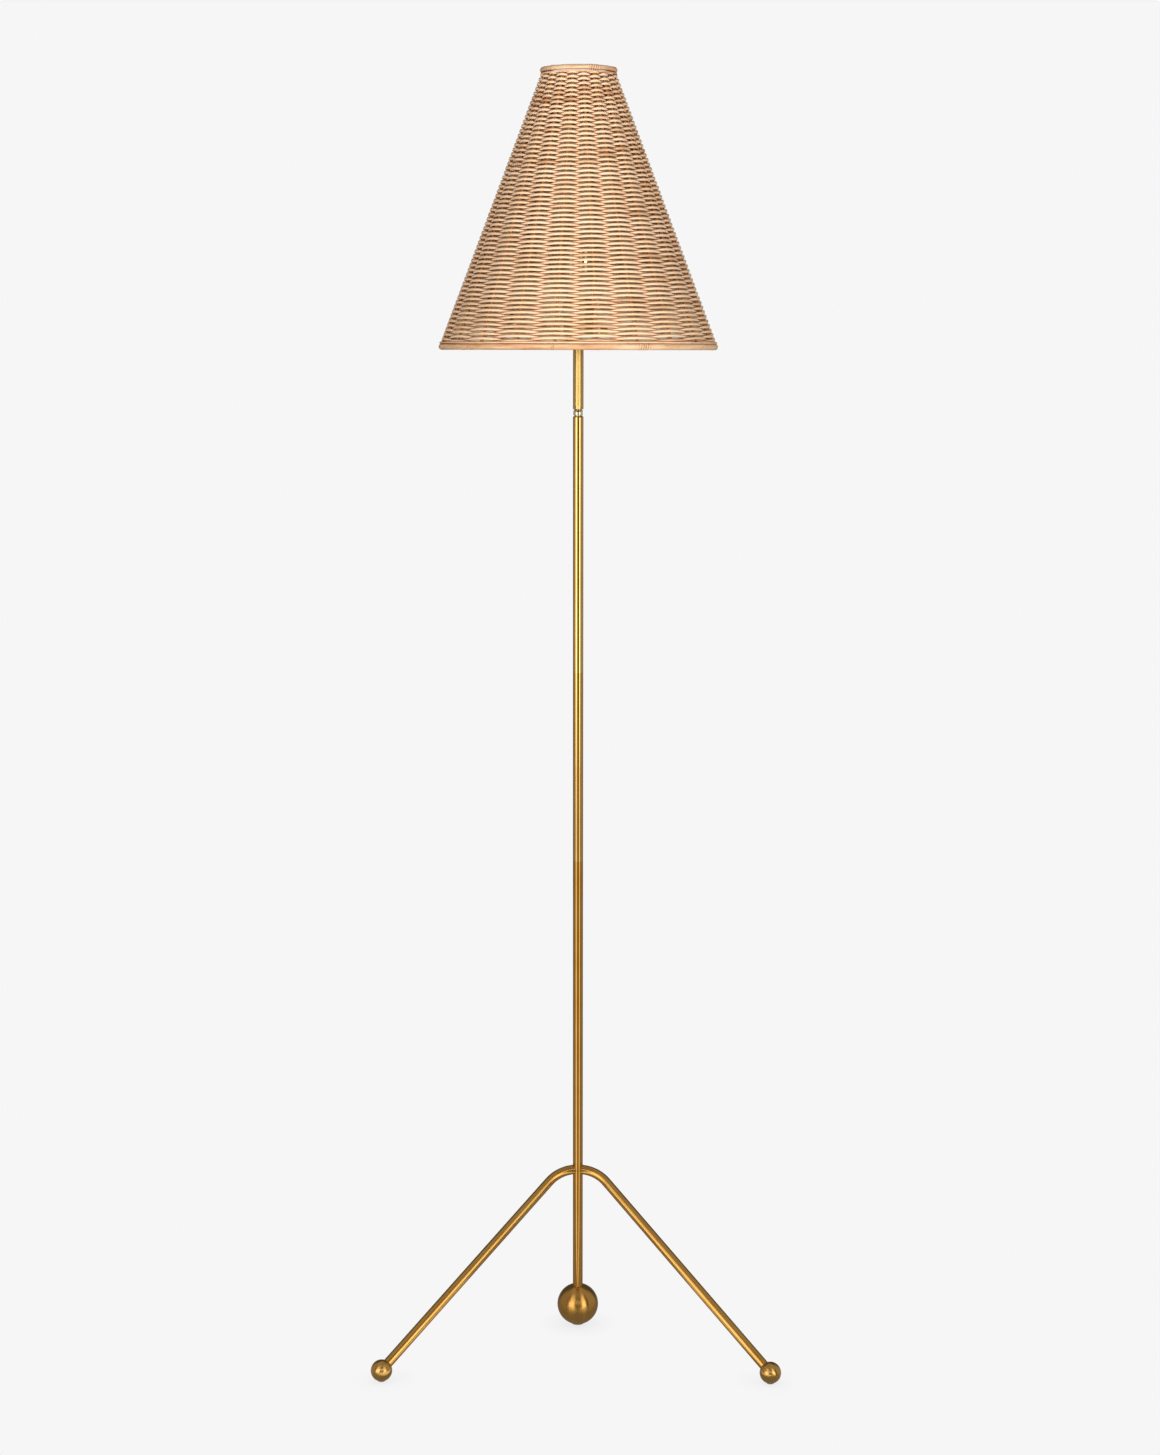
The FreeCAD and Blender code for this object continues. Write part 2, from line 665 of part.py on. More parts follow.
def make_rod():
    low = S.swivel_face + S.swivel_collar + S.seam / 2
    high = S.socket_bottom - S.pivot_height - S.seam / 2
    piece("upper_rod", tube("upper_rod_tube", tube_r, tube_bore, low, high), AT_PIVOT)
    nipple_low = S.nipple_rise - S.nipple_length
    nipple = tube("rod_nipple_tube", tube_bore - S.fit, S.wire_bore / 2, nipple_low, S.nipple_rise)
    piece("rod_nipple", nipple, AT_SOCKET)


def make_socket():
    outer = S.socket_dia / 2
    wall = S.socket_wall
    inner = outer - wall
    hole = tube_bore
    neck = tube_r + S.cap_neck
    shoulder = S.cap_shoulder
    cap = turned(
        "socket_cap_spun",
        [
            (hole, 0),
            (neck, 0),
            (outer, shoulder),
            (outer, S.cap_height),
            (inner, S.cap_height),
            (inner, shoulder + wall / 2),
            (neck - wall / 2, wall),
            (hole, wall),
        ],
    )
    key_r = S.key_shaft_dia / 2
    key_hole = placed(rod("cap_key_hole", key_r + S.fit, 0, S.socket_dia, "X"), shift(0, 0, S.key_height))
    piece("socket_cap", cut("socket_cap_cut", cap, key_hole), AT_SOCKET)
    nut_r = neck - wall - wall
    nut = tube("socket_nut_ring", nut_r, tube_bore, wall + S.seam / 2, wall + S.nut_height)
    piece("socket_locknut", nut, AT_SOCKET)

    seat = S.cap_height + S.shell_step
    shell_top = seat + S.shell_thread
    thread_r = S.thread_dia / 2
    shell = turned(
        "socket_shell_spun",
        [
            (inner, S.cap_height + S.seam / 2),
            (outer, S.cap_height + S.seam / 2),
            (outer, seat),
            (thread_r, seat),
            (thread_r, shell_top),
            (thread_r - wall, shell_top),
            (thread_r - wall, seat - wall),
            (inner, seat - wall),
        ],
    )
    piece("socket_shell", shell, AT_SOCKET)

    # The moulded insert carries the switch below and the lamp's screw shell above.
    insert_r = inner - S.insert_gap
    insert_low = S.key_height - S.insert_drop
    insert_high = S.cap_height + S.insert_rise
    insert = rod("insert_disc", insert_r, insert_low, insert_high)
    insert_hole = placed(
        rod("insert_key_hole", key_r + S.fit, S.key_hole_end, S.socket_dia, "X"),
        shift(0, 0, S.key_height),
    )
    piece("socket_insert", cut("socket_insert_cut", insert, insert_hole), AT_SOCKET)
    lamp_r = S.lamp_thread_dia / 2
    sleeve_in = lamp_r + S.sleeve_gap
    sleeve_out = sleeve_in + S.sleeve_wall
    sleeve_low = insert_high + S.seam
    contact_r = S.contact_dia / 2
    hole_r = S.contact_hole / 2
    sleeve = turned(
        "screw_sleeve_drawn",
        [
            (hole_r, sleeve_low),
            (sleeve_out, sleeve_low),
            (sleeve_out, shell_top - wall),
            (sleeve_in, shell_top - wall),
            (sleeve_in, sleeve_low + S.sleeve_wall),
            (hole_r, sleeve_low + S.sleeve_wall),
        ],
    )
    piece("lamp_screw_sleeve", sleeve, AT_SOCKET)
    contact = rod("contact_disc", contact_r, sleeve_low, sleeve_low + wall)
    piece("lamp_contact", contact, AT_SOCKET * shift(0, 0, sleeve_low))

    base_low = sleeve_low + wall + S.seam
    glass_low = shell_top + S.glass_gap
    base = turned(
        "bulb_base_turned",
        [
            (0, base_low),
            (contact_r, base_low),
            (contact_r, base_low + wall),
            (lamp_r - S.base_taper, base_low + wall + S.base_taper),
            (lamp_r, base_low + wall + S.base_taper + wall),
            (lamp_r, glass_low),
            (0, glass_low),
        ],
    )
    piece("bulb_base", base, AT_SOCKET)
    make_bulb_glass(glass_low + S.seam)
    make_filaments()


def bulb_form(name, radius, neck_r, low):
    """A ball and the cone that runs down from it to the neck, touching it all round."""
    depth = S.bulb_centre - low
    reach = root(neck_r * neck_r + depth * depth)
    along = root(reach * reach - radius * radius)
    # The touching circle, from the two right triangles between neck, centre and touch point.
    touch_r = radius * (neck_r * radius + depth * along) / (reach * reach)
    touch_low = radius * (depth * radius - neck_r * along) / (reach * reach)
    cone = doc.addObject("Part::Cone", f"{name}_neck")
    bind(cone, Radius1=neck_r, Radius2=touch_r, Height=depth - touch_low)
    cone.Placement = shift(0, 0, low)
    sphere = placed(ball(f"{name}_globe", radius), shift(0, 0, S.bulb_centre))
    return joined(f"{name}_form", cone, sphere)


def make_bulb_glass(low):
    radius = S.bulb_dia / 2
    neck_r = S.bulb_neck_dia / 2
    outside = bulb_form("glass_outer", radius, neck_r, low)
    inside = bulb_form("glass_inner", radius - S.glass_wall, neck_r - S.glass_wall, low)
    piece("bulb_glass", cut("bulb_glass_blown", outside, inside), AT_SOCKET)


def make_filaments():
    """Lit sticks round a glass stem, all inside the bulb."""
    half = S.filament_length / 2
    sticks = []
    for number in range(int(S.filament_count.value)):
        azimuth = turn(Z_AXIS, S.filament_start.value + 360.0 * number / S.filament_count.value)
        stick = rod(f"filament_{number}", S.filament_dia / 2, S.filament_centre - half, S.filament_centre + half)
        sticks.append(placed(stick, azimuth * shift(S.filament_circle / 2, 0, 0)))
    piece("bulb_filaments", group("bulb_filaments_all", *sticks), AT_SOCKET)
    low = S.cap_height + S.shell_step + S.shell_thread + S.glass_gap + S.seam
    stem = rod("bulb_stem_rod", S.glass_stem_dia / 2, low, S.filament_centre)
    piece("bulb_glass_stem", stem, AT_SOCKET * shift(0, 0, low))


def make_switch():
    shaft_r = S.key_shaft_dia / 2
    inner_end = S.key_hole_end + S.seam
    knob_low = S.key_reach - S.key_knob_length
    across = AT_SOCKET * shift(0, 0, S.key_height) * turn(FreeCAD.Vector(0, 1, 0), 90)
    shaft = rod("switch_shaft_rod", shaft_r, inner_end, S.key_reach - S.socket_wall)
    piece("switch_shaft", shaft, across * shift(0, 0, inner_end))
    knob_r = S.key_knob_dia / 2
    edge = S.swivel_chamfer
    knob = turned(
        "switch_knob_turned",
        [
            (shaft_r + S.fit / 2, knob_low),
            (knob_r - edge, knob_low),
            (knob_r, knob_low + edge),
            (knob_r, S.key_reach - edge),
            (knob_r - edge, S.key_reach),
            (0, S.key_reach),
            (0, S.key_reach - S.socket_wall + S.fit),
            (shaft_r + S.fit / 2, S.key_reach - S.socket_wall + S.fit),
        ],
    )
    piece("switch_knob", knob, across)


# ---------------------------------------------------------------- shade


def make_hoops():
    for node, height, outside, section in (
        ("shade_bottom_hoop", S.shade_bottom + S.hoop_bottom / 2, S.shade_bottom_dia / 2, S.hoop_bottom),
        ("shade_top_hoop", shade_top - S.hoop_top / 2, S.shade_top_dia / 2, S.hoop_top),
    ):
        hoop = doc.addObject("Part::Torus", f"{node}_ring")
        bind(hoop, Radius1=outside - section / 2, Radius2=section / 2)
        piece(node, hoop, shift(0, 0, height))


def make_weave():
    weave = turned(
        "shade_weave_wall",
        [
            (weave_low_r - S.weave_wall, weave_low),
            (weave_low_r, weave_low),
            (weave_high_r, weave_high),
            (weave_high_r - S.weave_wall, weave_high),
        ],
    )
    piece("shade_weave", weave, shift(0, 0, 0))

    # Straight stakes up the inside of the wall, between the two hoops.
    stake_r = S.stake_dia / 2
    low = weave_low + S.stake_dia / 2
    high = weave_high - S.stake_dia / 2
    tilt = math.degrees(math.atan(weave_taper.value))
    stakes = []
    for number in range(int(S.stake_count.value)):
        stake = doc.addObject("Part::Cylinder", f"stake_{number}")
        bind(stake, Radius=stake_r, Height=(high - low) * weave_slant)
        azimuth = turn(Z_AXIS, S.stake_start.value + 360.0 * number / S.stake_count.value)
        start = shift(inside_weave(low, stake_r + S.seam), 0, low)
        stake.Placement = azimuth * start * turn(FreeCAD.Vector(0, 1, 0), -tilt)
        stakes.append(stake)
    piece("shade_stakes", group("shade_stakes_all", *stakes))


def frame_ring_radius(height):
    """Centre radius of a frame wire, inside the stakes and the strand that passes behind them."""
    return inside_weave(height, S.stake_dia + S.strand_dia + S.frame_wire / 2 + S.frame_gap)


def make_frame():
    wire_r = S.frame_wire / 2
    heights = {
        "frame_wire_bottom": S.shade_bottom + S.frame_wire_rise,
        "frame_wire_top": shade_top - S.top_wire_drop,
    }
    for node, height in heights.items():
        ring = doc.addObject("Part::Torus", f"{node}_ring")
        bind(ring, Radius1=frame_ring_radius(height), Radius2=wire_r)
        piece(node, ring, shift(0, 0, height))

    # The fitter ring sits on the shell's step, and three arms reach the bottom wire.
    seat = S.cap_height + S.shell_step
    fitter_low = seat + S.seam / 2
    fitter_high = fitter_low + S.fitter_wall
    thread_r = S.thread_dia / 2
    fitter_r = S.fitter_dia / 2
    piece(
        "fitter_ring",
        tube("fitter_ring_flat", fitter_r, thread_r + S.seam, fitter_low, fitter_high),
        AT_SOCKET,
    )
    clamp = tube(
        "shade_clamp_turned",
        fitter_r - S.fitter_wall,
        thread_r + S.fit,
        fitter_high + S.seam / 2,
        fitter_high + S.clamp_height,
    )
    piece("shade_clamp_ring", clamp, AT_SOCKET)

    low_height = heights["frame_wire_bottom"]
    high_height = S.socket_bottom + fitter_low + S.fitter_wall / 2
    end_r = frame_ring_radius(low_height)
    start_r = fitter_r + wire_r
    fall = high_height - low_height
    run = end_r - start_r
    span = root(run * run + fall * fall)
    slope = math.degrees(math.atan2(run.value, -fall.value))
    arms = []
    for number in range(int(S.arm_count.value)):
        arm = doc.addObject("Part::Cylinder", f"arm_{number}")
        bind(arm, Radius=wire_r, Height=span - wire_r - S.seam)
        azimuth = turn(Z_AXIS, S.arm_start.value + 360.0 * number / S.arm_count.value)
        arm.Placement = azimuth * shift(start_r, 0, high_height) * turn(FreeCAD.Vector(0, 1, 0), slope)
        arms.append(arm)
    piece("fitter_arms", group("fitter_arms_all", *arms))


# ---------------------------------------------------------------- make, check and write

make_stem()
make_legs()
make_cord_bushing()
make_swivel()
make_rod()
make_socket()
make_switch()
make_hoops()
make_weave()
make_frame()
doc.recompute()

failed = [item.Name for item in doc.Objects if {"Invalid", "Error"} & set(item.State)]
if failed:
    raise RuntimeError(f"these features failed: {failed}")
for node, feature in pieces.items():
    shape = feature.Shape
    if shape.isNull() or not shape.isValid() or not shape.Solids:
        raise RuntimeError(f"{node} has no valid solid")

os.makedirs("parts", exist_ok=True)
for node, feature in pieces.items():
    feature.Shape.exportStep(f"parts/{node}.step")
    solids = len(feature.Shape.Solids)
    print(f"{node}: {solids} solid(s), {feature.Shape.Volume / 1000:.2f} cm3")
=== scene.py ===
"""Tripod floor lamp with a hand-woven rattan cone shade on a burnished brass stand."""

import math

import bpy
import numpy as np
from bpy.props import FloatProperty, FloatVectorProperty, IntProperty, PointerProperty
from mathutils import Euler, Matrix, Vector


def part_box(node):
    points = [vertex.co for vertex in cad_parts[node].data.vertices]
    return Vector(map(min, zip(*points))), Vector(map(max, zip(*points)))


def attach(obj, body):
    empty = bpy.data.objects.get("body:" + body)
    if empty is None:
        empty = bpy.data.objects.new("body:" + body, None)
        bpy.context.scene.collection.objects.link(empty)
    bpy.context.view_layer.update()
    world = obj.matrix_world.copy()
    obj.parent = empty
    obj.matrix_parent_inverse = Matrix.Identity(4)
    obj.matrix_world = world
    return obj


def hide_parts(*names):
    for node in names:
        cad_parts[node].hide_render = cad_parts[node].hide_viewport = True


bl_info = {
    "name": "Rattan tripod floor lamp",
    "version": (1, 0, 0),
    "blender": (4, 5, 0),
    "location": "View3D > Sidebar > Lamp",
    "description": "Builds the woven shade, the finishes and the studio round the lamp's CAD frame",
    "category": "Object",
}

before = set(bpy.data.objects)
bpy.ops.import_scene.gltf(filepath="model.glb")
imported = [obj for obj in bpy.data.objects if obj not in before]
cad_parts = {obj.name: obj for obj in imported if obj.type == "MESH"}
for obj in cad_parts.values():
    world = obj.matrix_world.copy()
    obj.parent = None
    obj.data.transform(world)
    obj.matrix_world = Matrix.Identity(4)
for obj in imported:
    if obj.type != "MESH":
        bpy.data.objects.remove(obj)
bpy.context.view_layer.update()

MM = 0.001
TURN = 2 * math.pi


def linear(code):
    """A colour given as an sRGB hex value, in Blender's linear light."""
    values = [int(code[i : i + 2], 16) / 255 for i in (1, 3, 5)]
    return tuple(v / 12.92 if v <= 0.04045 else ((v + 0.055) / 1.055) ** 2.4 for v in values)


def colour_property(name, description, code):
    return FloatVectorProperty(
        name=name, description=description, subtype="COLOR", size=3, min=0, max=1, default=linear(code)
    )


def length_property(name, description, millimetres):
    return FloatProperty(name=name, description=description, unit="LENGTH", min=0, default=millimetres * MM)


# ---------------------------------------------------------------- settings


class LampShadeSettings(bpy.types.PropertyGroup):
    strand_diameter: length_property("Strand", "Round rattan strand of the weave, across", 2.55)
    rows: IntProperty(name="Rows", description="Turns of the strand from hoop to hoop", default=116, min=10)
    stakes: IntProperty(name="Stakes", description="Upright stakes, an odd number", default=21, min=3)
    first_stake: FloatProperty(
        name="First stake", description="Azimuth of one stake", subtype="ANGLE", default=math.radians(4.0)
    )
    weave_depth: length_property("Weave depth", "How far the strand swings from the stakes' line", 2.65)
    packing: length_property("Packing", "How much the strand is packed up inside, at the back", 1.95)
    hoop_proud: length_property("Hoop proud", "How far the hoops stand out from the weave", 0.8)
    lashing_width: length_property("Lashing", "Split cane lashing round the hoops, across", 1.7)


class LampColourSettings(bpy.types.PropertyGroup):
    rattan_light: colour_property("Rattan, light", "Fresh outer face of the strand", "#E6CAAC")
    rattan_mid: colour_property("Rattan, middle", "Usual tone of the strand", "#DDBA94")
    rattan_dark: colour_property("Rattan, dark", "Weathered lengths and knots", "#AE7A50")
    # Painted shade that darkens the crevices between the strands of the weave and of the hoops.
    painted_crevice_shade: colour_property("Crevices", "Stain between the strands of the weave", "#A24C12")
    brass: colour_property("Brass", "Burnished brass of the stand", "#EDC57C")
    # The deeper gold of the random patches; pieces with a higher gold_depth take more of it, so the stand is
    # darker towards the bottom.
    brass_deep_gold: colour_property("Brass, aged", "Brass where handling has darkened it", "#CE9645")
    glow: colour_property("Glow", "Light of the bulb", "#FFCB8C")
    ground: colour_property("Ground", "Paper floor and background", "#F6F6F6")


# ---------------------------------------------------------------- small helpers


def wander(place, spacing, seed):
    """A smooth random line between about -1 and 1, with a new value at each spacing of the place."""
    place = np.asarray(place) / spacing
    first = np.floor(place).astype(int)
    knots = np.random.default_rng(seed).uniform(-1, 1, first.max() + 2)
    part = place - first
    part = part * part * (3 - 2 * part)
    return knots[first] * (1 - part) + knots[first + 1] * part


def new_object(name, vertices, faces, body):
    mesh = bpy.data.meshes.new(name)
    mesh.from_pydata(vertices, [], faces)
    mesh.shade_smooth()
    mesh.update()
    piece = bpy.data.objects.new(name, mesh)
    bpy.context.scene.collection.objects.link(piece)
    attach(piece, body)
    return piece


def sweep(points, outward, wide, tall, sides, closed=False):
    """A tube along points: wide is its half size towards outward, tall the half size across.

    Returns vertices and quads, ring after ring, with caps where the tube isn't closed.
    """
    count = len(points)
    ahead = np.roll(points, -1, 0) - np.roll(points, 1, 0)
    if not closed:
        ahead[0], ahead[-1] = points[1] - points[0], points[-1] - points[-2]
    ahead /= np.linalg.norm(ahead, axis=1)[:, None]
    outward = outward - (outward * ahead).sum(1)[:, None] * ahead
    outward /= np.linalg.norm(outward, axis=1)[:, None]
    across = np.cross(ahead, outward)
    angle = np.arange(sides) * TURN / sides
    wide = np.broadcast_to(wide, count)[:, None, None]
    tall = np.broadcast_to(tall, count)[:, None, None]
    ring = (
        points[:, None]
        + wide * np.cos(angle)[None, :, None] * outward[:, None]
        + tall * np.sin(angle)[None, :, None] * across[:, None]
    )
    start = np.arange(count if closed else count - 1)[:, None] * sides
    side = np.arange(sides)[None]
    after = (side + 1) % sides
    next_start = (start + sides) % (count * sides)
    quads = np.stack([start + side, start + after, next_start + after, next_start + side], 2)
    faces = quads.reshape(-1, 4).tolist()
    if not closed:
        faces.append(list(range(sides))[::-1])
        faces.append(list(range((count - 1) * sides, count * sides)))
    return ring.reshape(-1, 3), faces


def merge(parts):
    """One vertex array and one face list from several."""
    vertices, faces, offset = [], [], 0
    for points, quads in parts:
        vertices.append(points)
        faces += [[corner + offset for corner in face] for face in quads]
        offset += len(points)
    return np.concatenate(vertices), faces


# ---------------------------------------------------------------- materials


def node(tree, kind, settings=None, inputs=None, links=None):
    """Adds a shader node with its settings, its input values and its incoming links."""
    made = tree.nodes.new(kind)
    for name, value in (settings or {}).items():
        setattr(made, name, value)
    for name, value in (inputs or {}).items():
        made.inputs[name].default_value = value
    for name, socket in (links or {}).items():
        tree.links.new(socket, made.inputs[name])
    return made


def new_material(name):
    made = bpy.data.materials.new(name)
    made.use_nodes = True
    made.node_tree.nodes.clear()
    return made, made.node_tree


def finish_material(tree, surface):
    node(tree, "ShaderNodeOutputMaterial", links={"Surface": surface})


def ramp(tree, factor, stops):
    made = node(tree, "ShaderNodeValToRGB", links={"Fac": factor})
    elements = made.color_ramp.elements
    while len(elements) < len(stops):
        elements.new(0.5)
    for element, (place, colour) in zip(elements, stops):
        element.position = place
        element.color = (*colour, 1)
    return made.outputs["Color"]


def rattan_material(name, streak_map):
    """Rattan core reed, drawn round through a die and left natural under a thin clear lacquer.

    The eye gets warm straw tones that change from one length of reed to the next, fine
    pores that run along the strand, a few brown knots, a soft sheen and painted shade in
    the crevices between the strands.
    """
    colours = bpy.context.scene.lamp_colours
    made, tree = new_material(name)
    place = node(tree, "ShaderNodeUVMap", {"uv_map": streak_map}).outputs["UV"]
    tone = node(tree, "ShaderNodeAttribute", {"attribute_name": "reed_tone"}).outputs["Fac"]
    # The map is in millimetres. Pores are about 0.3 mm wide and 8 mm long.
    pores_place = node(
        tree, "ShaderNodeMapping", inputs={"Scale": (0.12, 3.3, 1)}, links={"Vector": place}
    ).outputs["Vector"]
    pores = node(
        tree, "ShaderNodeTexNoise", inputs={"Scale": 1, "Detail": 3, "Roughness": 0.6},
        links={"Vector": pores_place},
    ).outputs["Fac"]
    blotch_place = node(
        tree, "ShaderNodeMapping", inputs={"Scale": (0.03, 0.2, 1)}, links={"Vector": place}
    ).outputs["Vector"]
    blotches = node(
        tree, "ShaderNodeTexNoise", inputs={"Scale": 1, "Detail": 2}, links={"Vector": blotch_place}
    ).outputs["Fac"]
    mixed = node(
        tree, "ShaderNodeMath", {"operation": "MULTIPLY_ADD"}, {1: 0.55}, {0: pores, 2: tone}
    ).outputs[0]
    total = node(
        tree, "ShaderNodeMath", {"operation": "MULTIPLY_ADD"}, {1: 0.5}, {0: blotches, 2: mixed}
    ).outputs[0]
    spread = node(
        tree, "ShaderNodeMapRange", inputs={"From Min": 0.55, "From Max": 1.5}, links={"Value": total}
    ).outputs["Result"]
    body = ramp(
        tree, spread,
        [(0.0, colours.rattan_dark), (0.32, colours.rattan_mid), (1.0, colours.rattan_light)],
    )
    # Knots, where leaf sheaths were cut off, sit a few centimetres apart.
    knot_place = node(
        tree, "ShaderNodeMapping", inputs={"Scale": (0.022, 0.12, 1)}, links={"Vector": place}
    ).outputs["Vector"]
    knots = node(
        tree, "ShaderNodeTexVoronoi", inputs={"Scale": 1, "Randomness": 1}, links={"Vector": knot_place}
    ).outputs["Distance"]
    knot_mask = node(
        tree, "ShaderNodeMapRange",
        inputs={"From Min": 0.03, "From Max": 0.09, "To Min": 0.55, "To Max": 0.0},
        links={"Value": knots},
    ).outputs["Result"]
    colour = node(
        tree, "ShaderNodeMix", {"data_type": "RGBA"},
        {"B": (*linear("#7A4A22"), 1)}, {"Factor": knot_mask, "A": body},
    ).outputs["Result"]
    # Painted shade: the colour is multiplied towards the crevice colour in the crevices between the strands,
    # about a millimetre wide, where ambient occlusion finds little open air.
    open_air = node(tree, "ShaderNodeAmbientOcclusion", {"samples": 6}, {"Distance": 2.2 * MM}).outputs["AO"]
    painted_crevice_shade = node(
        tree, "ShaderNodeMapRange",
        inputs={"From Min": 0.35, "From Max": 0.97, "To Min": 1.0, "To Max": 0.0}, links={"Value": open_air},
    ).outputs["Result"]
    colour = node(
        tree, "ShaderNodeMix", {"data_type": "RGBA", "blend_type": "MULTIPLY"},
        {"B": (*colours.painted_crevice_shade, 1)}, {"Factor": painted_crevice_shade, "A": colour},
    ).outputs["Result"]
    rough = node(
        tree, "ShaderNodeMapRange", inputs={"To Min": 0.42, "To Max": 0.62}, links={"Value": pores}
    ).outputs["Result"]
    bump = node(
        tree, "ShaderNodeBump", inputs={"Strength": 0.35, "Distance": 0.0001}, links={"Height": pores}
    ).outputs["Normal"]
    # The lacquer reaches only the open faces.
    shine = node(
        tree, "ShaderNodeMapRange", inputs={"To Min": 0.45, "To Max": 0.0}, links={"Value": painted_crevice_shade}
    ).outputs["Result"]
    shader = node(
        tree, "ShaderNodeBsdfPrincipled", inputs={"IOR": 1.5},
        links={"Base Color": colour, "Roughness": rough, "Normal": bump, "Specular IOR Level": shine},
    )
    finish_material(tree, shader.outputs["BSDF"])
    return made


# Painted highlight: a pale tone painted on the swivel's ball where its halves turn.
PAINTED_HIGHLIGHT_TONE = "#FFF3D6"


def brass_material(name, axis, roughness=0.22, gold_depth=0.3, lay=0.75, bright=None):
    """Drawn or turned brass, burnished with a fine pad round its axis and waxed.

    The eye gets a warm satin metal whose highlights run long and soft along the axis,
    across the fine rings of the brushing, and a slightly deeper gold in random patches,
    more of it the higher gold_depth is.
    bright is a span of heights painted a pale tone, a painted highlight.
    """
    colours = bpy.context.scene.lamp_colours
    made, tree = new_material(name)
    place = node(tree, "ShaderNodeTexCoord").outputs["Object"]
    along = node(
        tree, "ShaderNodeVectorMath", {"operation": "DOT_PRODUCT"}, {1: tuple(axis)}, {0: place}
    ).outputs["Value"]
    # Rings where the burnishing pad passed, a few millimetres apart.
    brushing = node(
        tree, "ShaderNodeTexNoise", {"noise_dimensions": "1D"},
        {"Scale": 1 / (4 * MM), "Detail": 2, "Roughness": 0.5}, {"W": along},
    ).outputs["Fac"]
    # Patches of wear a few centimetres across.
    patches = node(
        tree, "ShaderNodeTexNoise", inputs={"Scale": 1 / (35 * MM), "Detail": 3, "Roughness": 0.55},
        links={"Vector": place},
    ).outputs["Fac"]
    deep_share = node(
        tree, "ShaderNodeMapRange",
        inputs={"From Min": 0.3, "From Max": 0.7, "To Min": max(0, gold_depth - 0.12), "To Max": min(1, gold_depth + 0.12)},
        links={"Value": patches},
    ).outputs["Result"]
    colour = node(
        tree, "ShaderNodeMix", {"data_type": "RGBA"},
        {"A": (*colours.brass, 1), "B": (*colours.brass_deep_gold, 1)}, {"Factor": deep_share},
    ).outputs["Result"]
    # Painted highlight: heights inside bright take the pale tone in place of the brass.
    if bright:
        level = node(tree, "ShaderNodeSeparateXYZ", links={"Vector": place}).outputs["Z"]
        inside = node(
            tree, "ShaderNodeMath", {"operation": "COMPARE"},
            {1: sum(bright) / 2, 2: (bright[1] - bright[0]) / 2}, {0: level},
        ).outputs[0]
        colour = node(
            tree, "ShaderNodeMix", {"data_type": "RGBA"},
            {"B": (*linear(PAINTED_HIGHLIGHT_TONE), 1)}, {"Factor": inside, "A": colour},
        ).outputs["Result"]
    rough = node(
        tree, "ShaderNodeMapRange",
        inputs={"From Min": 0.3, "From Max": 0.7, "To Min": roughness - 0.015, "To Max": roughness + 0.02},
        links={"Value": brushing},
    ).outputs["Result"]
    # The lay of the brushing runs round the axis, so it turns with the piece.
    world_axis = node(
        tree, "ShaderNodeVectorTransform",
        {"vector_type": "VECTOR", "convert_from": "OBJECT", "convert_to": "WORLD"}, {"Vector": tuple(axis)},
    ).outputs["Vector"]
    normal = node(tree, "ShaderNodeNewGeometry").outputs["Normal"]
    tangent = node(
        tree, "ShaderNodeVectorMath", {"operation": "CROSS_PRODUCT"}, links={0: world_axis, 1: normal}
    ).outputs["Vector"]
    shader = node(
        tree, "ShaderNodeBsdfPrincipled",
        inputs={"Metallic": 1, "Anisotropic": lay, "Anisotropic Rotation": 0.25},
        links={"Base Color": colour, "Roughness": rough, "Tangent": tangent},
    )
    finish_material(tree, shader.outputs["BSDF"])
    return made


def plain_material(name, code, roughness, metallic=0.0, grain_mm=0.6, contrast=0.25, bump=0.2, shine=0.5):
    """A finish of one colour with a fine grain of a real size in its colour, sheen and relief."""
    made, tree = new_material(name)
    place = node(tree, "ShaderNodeTexCoord").outputs["Object"]
    grain = node(
        tree, "ShaderNodeTexNoise", inputs={"Scale": 1 / (grain_mm * MM), "Detail": 3},
        links={"Vector": place},
    ).outputs["Fac"]
    base = linear(code)
    colour = ramp(
        tree, grain,
        [(0.3, [v * (1 - contrast) for v in base]), (0.7, [min(1, v * (1 + contrast)) for v in base])],
    )
    rough = node(
        tree, "ShaderNodeMapRange",
        inputs={"To Min": roughness * 0.85, "To Max": min(1, roughness * 1.15)}, links={"Value": grain},
    ).outputs["Result"]
    relief = node(
        tree, "ShaderNodeBump", inputs={"Strength": bump, "Distance": 0.00005}, links={"Height": grain}
    ).outputs["Normal"]
    shader = node(
        tree, "ShaderNodeBsdfPrincipled", inputs={"Metallic": metallic, "Specular IOR Level": shine},
        links={"Base Color": colour, "Roughness": rough, "Normal": relief},
    )
    finish_material(tree, shader.outputs["BSDF"])
    return made


def glass_material():
    """Clear soda-lime glass, blown thin.

    The eye sees straight through it, with reflections that grow towards its edges.
    """
    made, tree = new_material("clear_blown_glass")
    # The shell has an inner and an outer face, so the sheen comes from the angle alone.
    facing = node(tree, "ShaderNodeLayerWeight", inputs={"Blend": 0.2}).outputs["Facing"]
    edge = node(tree, "ShaderNodeMath", {"operation": "MULTIPLY"}, {1: 0.35}, {0: facing}).outputs[0]
    through = node(tree, "ShaderNodeBsdfTransparent", inputs={"Color": (0.98, 0.97, 0.94, 1)})
    gloss = node(tree, "ShaderNodeBsdfGlossy", inputs={"Roughness": 0.03})
    mixed = node(tree, "ShaderNodeMixShader", links={"Fac": edge})
    tree.links.new(through.outputs[0], mixed.inputs[1])
    tree.links.new(gloss.outputs[0], mixed.inputs[2])
    finish_material(tree, mixed.outputs[0])
    return made


# The lit sticks: how far the hottest point's light reaches along its stick, and the brightness of
# that point and of the rest.
HOT_REACH = 4 * MM
HOT_LIGHT, STICK_LIGHT = 110, 0.9


